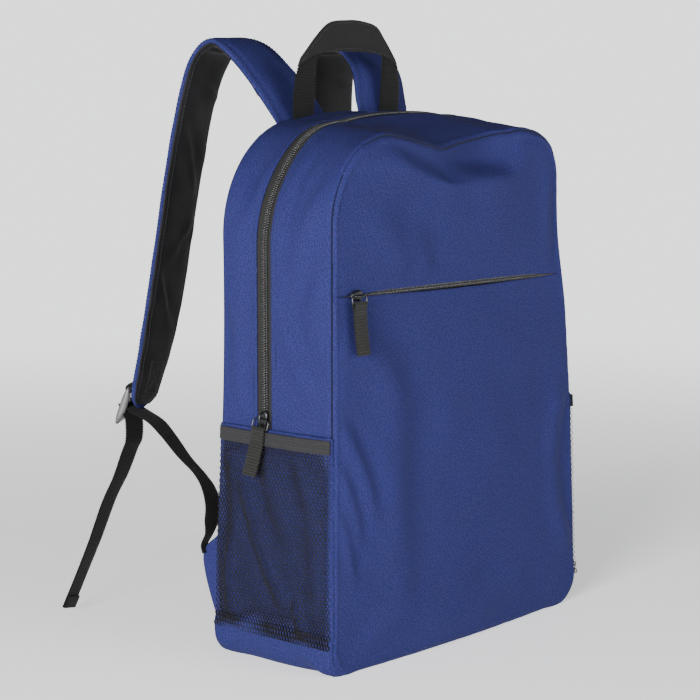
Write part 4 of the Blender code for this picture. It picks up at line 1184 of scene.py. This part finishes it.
def ladder_lock(label, sign):
    """Moulded ladder lock: two bowed side rails, a top bar, a ridged bar and a low lip."""
    bundle = Bundle()
    t = np.linspace(-1, 1, 19)
    rail_x = LOCK_HALF_WIDE - 0.0019
    bow = 0.0011 * (1 - t * t)
    for side in (-1, 1):
        rail = np.stack([np.full_like(t, side * rail_x), t * (LOCK_HALF_LONG - 0.0006), bow], -1)
        taper = np.sqrt(np.clip(1 - np.abs(t) ** 5, 0.06, 1))
        bundle.add(*loft(rail, (0.0017 + 0.0017 * (1 - t * t)) * taper, 0.0020 * taper,
                         (0, 0, 1), (1, 0, 0)))
    x = np.linspace(-rail_x, rail_x, 5)
    bars = ((0.0145, 0.0002, 0.0016, 0.0014), (0.0020, 0.0011, 0.0022, 0.0012),
            (-0.0050, 0.0020, 0.0013, 0.0016), (-0.0150, 0.0003, 0.0018, 0.0014))
    for y, z, half_y, half_z in bars:
        bar = np.stack([x, np.full_like(x, y), np.full_like(x, z)], -1)
        bundle.add(*loft(bar, half_y, half_z, (0, 1, 0), (0, 0, 1)))
    ridges = np.linspace(-rail_x + 0.003, rail_x - 0.003, 9)
    for at in ridges:
        line = np.array([[at, y, 0.0018] for y in (0.0006, 0.0020, 0.0034)])
        bundle.add(*loft(line, 0.0007, 0.0005, (0, 0, 1), (1, 0, 0), 6))
    piece = bundle.build(f"buckle_{label}", GREY_PLASTIC)
    bar = np.stack([x * 0.9, np.full_like(x, -0.0012), np.full_like(x, 0.0036)], -1)
    shine = add_mesh(f"buckle_bar_{label}", *loft(bar, 0.0011, 0.0007, (0, 1, 0), (0, 0, 1)), BAIL_METAL)
    upright = (Matrix.Rotation(-sign * LOCK_TURN, 4, "Z")
               @ Matrix.Rotation(math.radians(90) + LOCK_TILT, 4, "X"))
    centre = Vector((sign * LOCK_CENTRE[0], LOCK_CENTRE[1], LOCK_CENTRE[2]))
    for part in (piece, shine):
        part.data.transform(Matrix.Translation(centre) @ upright)
    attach(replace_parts(piece, f"ladder_lock_{label}"), f"lock_{label}")
    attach(shine, f"lock_{label}")
    return upright, centre


def lock_loop(label, sign, upright, centre):
    """The short webbing that holds the lock: out of the strap's tip and round the top bar."""
    bar = np.array(centre + upright @ Vector((0, 0.0145, 0.0002)))
    side = np.array(upright.to_3x3() @ Vector((1, 0, 0)))
    down = np.array((sign * 0.1150, 0.1815, 0.1850)) - bar
    down = down - side * (down @ side)
    away = unit(np.cross(side, unit(down)))
    radius = 0.0030
    foot = bar + down
    arc = [bar + radius * (away * math.cos(a) - unit(down) * math.sin(a))
           for a in np.radians(np.linspace(0, 180, 9))]
    path = np.array([foot + away * 0.0012, bar + down * 0.45 + away * 0.0016, *arc,
                     bar + down * 0.45 - away * 0.0016, foot - away * 0.0012])
    spine = smooth_route(path, 4)
    along = unit(np.gradient(spine, axis=0))
    across = np.tile(side, (len(spine), 1))
    piece = webbing(f"lock_webbing_{label}", spine, across, np.cross(across, along),
                    np.full(len(spine), 0.0175), thickness=0.0012, rib=0.0018, depth=0.16)
    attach(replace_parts(piece, f"lock_anchor_{label}"), f"strap_{label}")


TAB_OUTLINE = ((0.0600, 0.018), (0.0680, 0.033), (0.0760, 0.053), (0.0796, 0.066), (0.0800, 0.073),
               (0.0790, 0.0790), (0.0700, 0.0865), (0.0600, 0.094))


def anchor_tab(label, sign):
    """The folded triangle of fabric that holds the adjuster's lower end."""
    rim = smooth_route([(0, y, z) for y, z in TAB_OUTLINE], 8)[:, 1:]
    rows, columns = len(rim), 17
    s = np.linspace(0, 1, columns)
    seam_z = np.linspace(0.022, 0.090, rows)
    y = 0.0560 + (rim[:, :1] - 0.0560) * s[None]
    z = seam_z[:, None] + (rim[:, 1:] - seam_z[:, None]) * s[None]
    edge = np.minimum(s[None], 1 - s[None]) * 2
    t = np.linspace(0, 1, rows)[:, None]
    dome = (np.clip(1 - (2 * s[None] - 1) ** 6, 0, 1) * np.clip(1 - (2 * t - 1) ** 6, 0, 1)) ** 0.5
    lift = 0.0016 * dome + 0.0003 * ripple(y, z, 0.02, 91) * edge
    x = HALF - 0.0030
    faces = []
    for face in (1, -1):
        grid = np.stack([np.broadcast_to(x + face * lift, y.shape), y, z], -1)
        faces.append(grid)
    rim_points = np.concatenate([faces[0], faces[1][:, ::-1]], axis=1)
    ring = rim_points.shape[1]
    uv = np.stack([rim_points[..., 1], rim_points[..., 2]], -1)
    rim_points = rim_points * np.array([sign, 1, 1])
    quads = ring_faces(rows, ring, False)
    piece = add_mesh(f"navy_tab_{label}", rim_points, quads if sign > 0 else [f[::-1] for f in quads],
                     NAVY, uv)
    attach(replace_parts(piece, f"anchor_tab_{label}"), "bag")


# ---------------------------------------------------------------- handle
LEG_EDGES = (                  # level above the foot, outer and inner edge of a leg
    (-0.0170, 0.0640, 0.0400), (-0.0050, 0.0650, 0.0400), (0.0100, 0.0655, 0.0405),
    (0.0220, 0.0645, 0.0405), (0.0330, 0.0615, 0.0405), (0.0380, 0.0575, 0.0405),
    (0.0430, 0.0530, 0.0405), (0.0462, 0.0495, 0.0408),
)


def handle():
    """Webbing legs mitred into an arched grip, sewn in a twill sleeve."""
    stand = Matrix.Translation((0, HANDLE_Y, HANDLE_FOOT_Z)) @ Matrix.Rotation(HANDLE_LEAN, 4, "X")

    def world(x, z, y=0.0):
        return np.array(stand @ Vector((x, y, z)))

    outward = np.array(stand.to_3x3() @ Vector((0, -1, 0)))
    pieces = []
    for label, side in SIDES:
        _, outer, inner = zip(*LEG_EDGES)
        route = np.array([world(side * (a + b) / 2, z) for z, a, b in LEG_EDGES])
        spine = smooth_route(route, 8)
        spans = spread(np.array(outer) - np.array(inner), len(spine))
        leg = webbing(f"handle_leg_{label}", spine, np.tile([1.0, 0, 0], (len(spine), 1)),
                      np.tile(outward, (len(spine), 1)), spans, thickness=0.0022, rib=RIB_PITCH,
                      depth=0.40, columns=13, scallop=0.0004)
        pieces.append(leg)
    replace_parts(pieces[0], "grab_handle_webbing")
    low = ((-0.0420, 0.0440), (-0.0300, 0.0452), (0.0, 0.0460), (0.0300, 0.0452), (0.0420, 0.0440))
    high = ((-0.0620, 0.0330), (-0.0575, 0.0400), (-0.0430, 0.0560), (-0.0270, 0.0685),
            (-0.0060, 0.0712), (0.0100, 0.0712), (0.0300, 0.0675), (0.0420, 0.0570),
            (0.0565, 0.0405), (0.0612, 0.0330))
    low_edge = resample(smooth_route([(x, 0, z) for x, z in low], 12), 0.0011)[0]
    top_edge = smooth_route([(x, 0, z) for x, z in high], 12)
    count = len(low_edge)
    top_run = lengths(top_edge)
    spots = np.linspace(0, top_run[-1], count)
    top_edge = np.stack([np.interp(spots, top_run, top_edge[:, k]) for k in range(3)], -1)
    columns = 27
    place = np.sin(np.linspace(-1, 1, columns) * math.pi / 2) * 0.5 + 0.5
    spot = np.concatenate([place, place[-2:0:-1]])
    swell = np.clip(1 - np.abs(2 * spot - 1) ** 6, 0, 1) ** 0.5
    face = np.concatenate([np.ones(columns), -np.ones(columns - 2)])
    flat = low_edge[:, None] + (top_edge - low_edge)[:, None] * spot[None, :, None]
    ends = 0.6 + 0.4 * ease(0, 0.05, np.linspace(0, 1, count)) * ease(0, 0.05, np.linspace(1, 0, count))
    thick = (0.0029 + 0.0003 * ripple(flat[..., 0], flat[..., 2], 0.018, 101)) * swell[None] * ends[:, None]
    groove = 1 - 0.22 * (np.exp(-((spot - 0.13) / 0.03) ** 2) + np.exp(-((spot - 0.87) / 0.03) ** 2))
    body = flat + np.stack([0 * thick, -face[None] * thick * groove[None], 0 * thick], -1)
    uv = np.stack([flat[..., 0], flat[..., 2]], -1)
    matrix = np.array(stand)
    body = body @ matrix[:3, :3].T + matrix[:3, 3]
    faces = [face[::-1] for face in ring_faces(count, len(spot), False)]
    grip = add_mesh("handle_grip", body, faces, GRIP_TWILL, uv)
    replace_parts(grip, "grab_handle_grip_front", "grab_handle_grip_rear")
    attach(grip, "grab_handle")
    stitches = Bundle()
    for j in (5, 21):
        for side_j, normal in ((j, outward), (len(spot) - j if j else 0, -outward)):
            path = body[2:-2, side_j]
            add_stitches(stitches, path + normal * 0.0001, np.tile(normal, (len(path), 1)))
    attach(stitches.build("handle_stitching", BLACK_THREAD), "grab_handle")
    for leg in pieces:
        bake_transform(leg)


# ---------------------------------------------------------------- pulls
PULL_END, PULL_WIDTH, PIVOT_RISE = 0.0441, 0.0138, 0.0038


def in_frame(place, axes):
    """The matrix of a zip's own frame: across the chain, along it and out of it."""
    return Matrix([[*(axes[k][row] for k in range(3)), place[row]] for row in range(3)]
                  + [[0, 0, 0, 1]])


def slider(name, to_world, body, node):
    """A die-cast zip slider: a waisted plate with rims and the bridge that holds the bail."""
    bundle = Bundle()
    t = np.linspace(-1, 1, 15)
    ends = np.sqrt(np.clip(1 - np.abs(t) ** 6, 0.05, 1))
    waist = 0.80 + 0.20 * np.cos(2.8 * (t - 0.35))
    plate = np.stack([0 * t, t * 0.0064, 0 * t + 0.0014], -1)
    bundle.add(*loft(plate, 0.0009 * ends, 0.0044 * waist * ends, (0, 0, 1), (1, 0, 0)))
    for side in (-1, 1):
        rim = np.stack([side * 0.0034 * waist, t * 0.0058, 0 * t + 0.0007], -1)
        bundle.add(*loft(rim, 0.0012 * ends, 0.0008 * ends, (0, 0, 1), (1, 0, 0)))
    arch = smooth_route([(0, -0.0046, 0.0016), (0, -0.0042, 0.0043), (0, -0.0020, 0.0057),
                         (0, 0.0020, 0.0057), (0, 0.0042, 0.0043), (0, 0.0046, 0.0016)], 4)
    bundle.add(*tube(arch, 0.0009, 8, reference=(1, 0, 0)))
    piece = bundle.build(name, DARK_METAL)
    piece.data.transform(to_world)
    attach(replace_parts(piece, node), body)


def bail(name, to_world, drop, body, node):
    """The wire loop between a slider's bridge and its pull."""
    angles = np.linspace(0, 2 * math.pi, 41)[:-1]
    c, s = np.cos(angles), np.sin(angles)
    loop = np.stack([0.0080 * np.sign(c) * np.abs(c) ** 0.45,
                     drop / 2 * (np.sign(s) * np.abs(s) ** 0.45 - 1), 0 * c], -1)
    points, faces = tube(loop, 0.00055, 8, closed=True)
    piece = add_mesh(name, points, faces, BAIL_METAL)
    piece.data.transform(to_world)
    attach(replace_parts(piece, node), body)


def pull(name, to_world, drop, body, node):
    """A webbing pull folded round the bail's low bar, ribs across and sewn to itself."""
    bar, low, radius, half = -drop, -PULL_END, 0.0017, 0.00062
    arc = [(bar + radius * math.cos(a), radius * math.sin(a)) for a in
           np.radians(np.linspace(-115, 115, 11))]
    route = [(low, -half), (bar - 0.020, -half), (bar - 0.006, -half), *arc,
             (bar - 0.006, half), (bar - 0.020, half), (low, half)]
    spine = smooth_route([(0, y, z) for y, z in route], 5)
    along = unit(np.gradient(spine, axis=0))
    across = np.tile([1.0, 0, 0], (len(spine), 1))
    sway = 0.0006 * np.sin((spine[:, 1] - bar) * 90)
    spine[:, 2] += sway * ease(0.0, 0.010, bar - spine[:, 1])
    piece = webbing(name, spine, across, np.cross(across, along), np.full(len(spine), PULL_WIDTH),
                    PULL_WEBBING, thickness=0.00118, rib=RIB_PITCH, depth=0.45, columns=11,
                    scallop=0.0004)
    piece.data.transform(to_world)
    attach(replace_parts(piece, node), body)
    stitches = Bundle()
    for z, normal in ((half + 0.0007, 1.0), (-half - 0.0007, -1.0)):
        for y in (bar - 0.0052, bar - 0.0070, low + 0.003):
            lift = 0.0006 * math.sin((y - bar) * 90) * float(ease(0.0, 0.010, bar - y))
            row = np.array([[x, y, z + lift] for x in np.linspace(-0.0055, 0.0055, 7)])
            add_stitches(stitches, row, np.tile([0, 0, normal], (7, 1)), 0.0020, 0.0016)
    sewn = stitches.build(f"{name}_stitching", BLACK_THREAD)
    sewn.data.transform(to_world)
    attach(sewn, body)


def pulls():
    """Both sliders with their bails and pulls, as they hang at rest."""
    lean = Matrix.Rotation(math.radians(-13), 4, "X") @ Matrix.Rotation(math.radians(-5), 4, "Z")
    hang = Matrix.Rotation(math.radians(91), 4, "Z") @ Matrix.Rotation(math.radians(-5), 4, "X")
    for zip_name, place, axes, turn, drop in (
            ("main", (-(HALF - 0.0003), ZIP_Y, 0.1905), ((0, -1, 0), (0, 0, 1), (-1, 0, 0)), lean,
             0.0086),
            ("pocket", (-0.1265, FRONT_Y - 0.0021, POCKET_ZIP_Z),
             ((0, 0, -1), (1, 0, 0), (0, -1, 0)), hang, 0.0062)):
        at = in_frame(place, axes)
        hung = at @ Matrix.Translation((0, 0, PIVOT_RISE)) @ turn
        slider(f"{zip_name}_slider_body", at, f"{zip_name}_slider", f"{zip_name}_zip_slider")
        bail(f"{zip_name}_bail", hung, drop, f"{zip_name}_pull", f"{zip_name}_slider_bail")
        pull(f"{zip_name}_ribbed_pull", hung, drop, f"{zip_name}_pull", f"{zip_name}_pull_tab")


# ---------------------------------------------------------------- back and inside
def back_half_width(z, inset):
    rise = np.clip(z - (BACK_HEIGHT - REAR_TOP_RADIUS), 0, REAR_TOP_RADIUS - inset)
    drop = np.clip(BOTTOM_RADIUS - z, 0, BOTTOM_RADIUS - inset)
    high = np.sqrt((REAR_TOP_RADIUS - inset) ** 2 - rise ** 2) - (REAR_TOP_RADIUS - inset)
    low = np.sqrt((BOTTOM_RADIUS - inset) ** 2 - drop ** 2) - (BOTTOM_RADIUS - inset)
    return HALF - inset + high + low


def back_pad():
    """The padded back panel, with two sewn channels down it and one across the shoulders."""
    rows, columns = 150, 111
    t = np.linspace(-1, 1, columns)
    across = np.sign(t) * (1 - (1 - np.abs(t)) ** 1.2)
    z = np.linspace(SEAM, BACK_HEIGHT - SEAM, rows)
    z = np.repeat(z[:, None], columns, 1)
    x = across[None] * back_half_width(z, SEAM)
    crown = TOP_CROWN * np.clip(1 - (x / (HALF - REAR_TOP_RADIUS)) ** 2, 0, 1)
    z = z + crown * np.linspace(0, 1, rows)[:, None] ** 3
    side_in = back_half_width(z, SEAM) - np.abs(x)
    inside = np.minimum(np.minimum(side_in, z - SEAM), BACK_HEIGHT + crown - SEAM - z)
    pad = 0.0026 * ease(0, 0.020, inside) + 0.0006 * ripple(x, z, 0.07, 111) * ease(0, 0.02, inside)
    seams = (np.exp(-((np.abs(x) - 0.047 - 0.012 * np.cos(z * 9)) / 0.0035) ** 2)
             + np.exp(-((z - 0.345) / 0.0035) ** 2))
    y = BACK_Y + 0.0002 + pad - 0.0026 * np.clip(seams, 0, 1) * ease(0.004, 0.02, inside) \
        + seam_roll(inside)
    outer = np.stack([x, y, z], -1)
    inner = np.stack([x * 0.97, np.full_like(y, BACK_Y - 0.0064), 0.004 + z * 0.975], -1)
    outer = np.concatenate([outer[:1] * 1.0 + np.array([0, -0.0016, 0.0016]), outer,
                            outer[-1:] + np.array([0, -0.0016, -0.0016])])
    inner = np.concatenate([inner[:1], inner, inner[-1:]])
    outer, inner = slump(outer), slump(inner)
    rows += 2
    count = rows * columns
    faces = grid_faces(rows, columns)
    index = np.arange(count).reshape(rows, columns)
    loop = np.concatenate([index[:-1, 0], index[-1, :-1], index[:0:-1, -1], index[0, :0:-1]])
    after = np.roll(loop, -1)
    rim = np.stack([after, loop, loop + count, after + count], -1)
    everything = np.concatenate([faces, faces[:, ::-1] + count, rim])
    uv = np.concatenate([grid_uv(outer).reshape(-1, 2)] * 2)
    points = np.concatenate([outer.reshape(-1, 3), inner.reshape(-1, 3)])
    piece = add_mesh("back_panel_pad", points, everything.tolist(), BACK_CLOTH, uv)
    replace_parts(piece, "back_panel_cover", "back_foam", "back_lining")
    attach(piece, "bag")
    stitches = Bundle()
    for side in (-1, 1):
        path_z = np.linspace(0.02, 0.338, 90)
        path_x = side * (0.047 + 0.012 * np.cos(path_z * 9))
        path = slump(np.stack([path_x, np.full(90, BACK_Y + 0.0006), path_z], -1))
        add_stitches(stitches, path, np.tile([0, 1.0, 0], (90, 1)))
    path_x = np.linspace(-0.135, 0.135, 90)
    path = slump(np.stack([path_x, np.full(90, BACK_Y + 0.0006), np.full(90, 0.345)], -1))
    add_stitches(stitches, path, np.tile([0, 1.0, 0], (90, 1)))
    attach(stitches.build("back_panel_stitching", BLACK_THREAD), "bag")


def pocket_lining():
    z = np.repeat(np.linspace(0.006, 0.300, 60)[:, None], 60, 1)
    x = np.linspace(-1, 1, 60)[None] * front_half_width(z, 0.006)
    points = slump(np.stack([x, np.full_like(x, FRONT_Y + 0.0068), z], -1))
    piece = add_cloth("front_pocket_lining", points[::-1], LINING, 0.0006)
    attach(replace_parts(piece, "front_pocket_wall"), "bag")


# ---------------------------------------------------------------- the whole pack
def body():
    for name, upper in (("upper", True), ("lower", False)):
        piece = front_panel(f"front_cloth_{name}", upper)
        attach(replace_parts(piece, f"front_panel_{name}"), "bag")
    for name, near in (("front", True), ("rear", False)):
        piece = gusset(f"gusset_cloth_{name}", near)
        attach(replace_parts(piece, f"gusset_{name}"), "bag")
    piece = base()
    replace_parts(piece, "bottom_panel", "side_panel_left", "side_panel_right")
    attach(piece, "bag")
    for name, y, towards in (("front", FRONT_Y, 1), ("back", BACK_Y, -1)):
        rope = seam_rope(f"seam_allowance_and_shade_{name}", y, towards)
        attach(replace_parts(rope, f"{name}_seam_binding"), "bag")


# ---------------------------------------------------------------- studio
def add_camera():
    azimuth, elevation, distance = math.radians(-48.69), math.radians(7.19), 1.617
    target = Vector((0.0231, 0.0747, 0.2211))
    back = Vector((math.sin(azimuth) * math.cos(elevation),
                   -math.cos(azimuth) * math.cos(elevation), math.sin(elevation)))
    data = bpy.data.cameras.new("camera")
    data.lens = 98.06
    data.sensor_width = 36.0
    camera = bpy.data.objects.new("camera", data)
    camera.location = target + back * distance
    camera.rotation_euler = (-back).to_track_quat("-Z", "Y").to_euler()
    bpy.context.scene.collection.objects.link(camera)
    bpy.context.scene.camera = camera


def add_light(name, place, size, power, colour=(1, 1, 1)):
    data = bpy.data.lights.new(name, "AREA")
    data.shape = "RECTANGLE"
    data.size = data.size_y = size
    data.energy = power
    data.color = colour
    light = bpy.data.objects.new(name, data)
    light.location = place
    aim = Vector((0, 0.05, 0.2)) - Vector(place)
    light.rotation_euler = aim.to_track_quat("-Z", "Y").to_euler()
    bpy.context.scene.collection.objects.link(light)


HORIZON, ZENITH = 1.9, 0.06     # how bright the surroundings are level with the pack, and above


def surroundings():
    """A pale room that is bright all round and darker overhead."""
    world = bpy.data.worlds.new("studio")
    world.use_nodes = True
    tree = world.node_tree
    surface = tree.nodes["Background"]
    surface.inputs["Color"].default_value = (0.97, 0.98, 1.0, 1)
    place = tree.nodes.new("ShaderNodeTexCoord")
    split = tree.nodes.new("ShaderNodeSeparateXYZ")
    level = tree.nodes.new("ShaderNodeMapRange")
    level.interpolation_type = "SMOOTHSTEP"
    for socket, value in (("From Min", 0.06), ("From Max", 0.50), ("To Min", HORIZON),
                          ("To Max", ZENITH)):
        level.inputs[socket].default_value = value
    tree.links.new(place.outputs["Generated"], split.inputs[0])
    tree.links.new(split.outputs["Z"], level.inputs["Value"])
    tree.links.new(level.outputs["Result"], surface.inputs["Strength"])
    bpy.context.scene.world = world


def pale_floor():
    """A pale floor which runs out, far off, into the brightness of the room."""
    material, node, surface, links = shader("pale_floor", 0.9)
    place = node("ShaderNodeTexCoord").node.outputs["Object"]
    away = node("ShaderNodeVectorMath", {0: place}, operation="LENGTH").node.outputs["Value"]
    far = node("ShaderNodeMapRange", {"Value": away, "From Min": 0.30, "From Max": 2.2},
               interpolation_type="SMOOTHSTEP")
    grain = node("ShaderNodeTexNoise", {"Vector": place, "Scale": 3.0, "Detail": 2.0})
    tone = mix_colour(node, grain, (0.86, 0.86, 0.86, 1), (0.90, 0.90, 0.90, 1))
    links.new(mix_colour(node, far, tone, (0, 0, 0, 1)), surface.inputs["Base Color"])
    glow = maths(node, "MULTIPLY_ADD", far, 0.72)
    glow.node.inputs[2].default_value = 0.28
    surface.inputs["Emission Color"].default_value = (0.97, 0.98, 1.0, 1)
    links.new(maths(node, "MULTIPLY", glow, HORIZON), surface.inputs["Emission Strength"])
    surface.inputs["Specular IOR Level"].default_value = 0.0
    return material


def studio():
    surroundings()
    add_light("key", (-2.3, -0.7, 0.55), 0.9, 150)
    add_light("fill", (0.3, -2.3, 0.50), 1.2, 46)
    mesh = bpy.data.meshes.new("floor")
    count, radius = 96, 30.0
    ring = [(radius * math.cos(2 * math.pi * k / count), radius * math.sin(2 * math.pi * k / count),
             LOWEST - 0.0002) for k in range(count)]
    mesh.from_pydata(ring, [], [list(range(count))])
    mesh.materials.append(pale_floor())
    floor = bpy.data.objects.new("floor", mesh)
    bpy.context.scene.collection.objects.link(floor)


add_camera()
studio()
back_pad()
pocket_lining()
body()
main_zip()
pocket_zip()
for label, side in SIDES:
    side_pocket(label, side)
    strap(label, side)
    adjuster(label, side)
    tail(label, side)
    turn, centre = ladder_lock(label, side)
    lock_loop(label, side, turn, centre)
    anchor_tab(label, side)
handle()
pulls()
zip_stops()
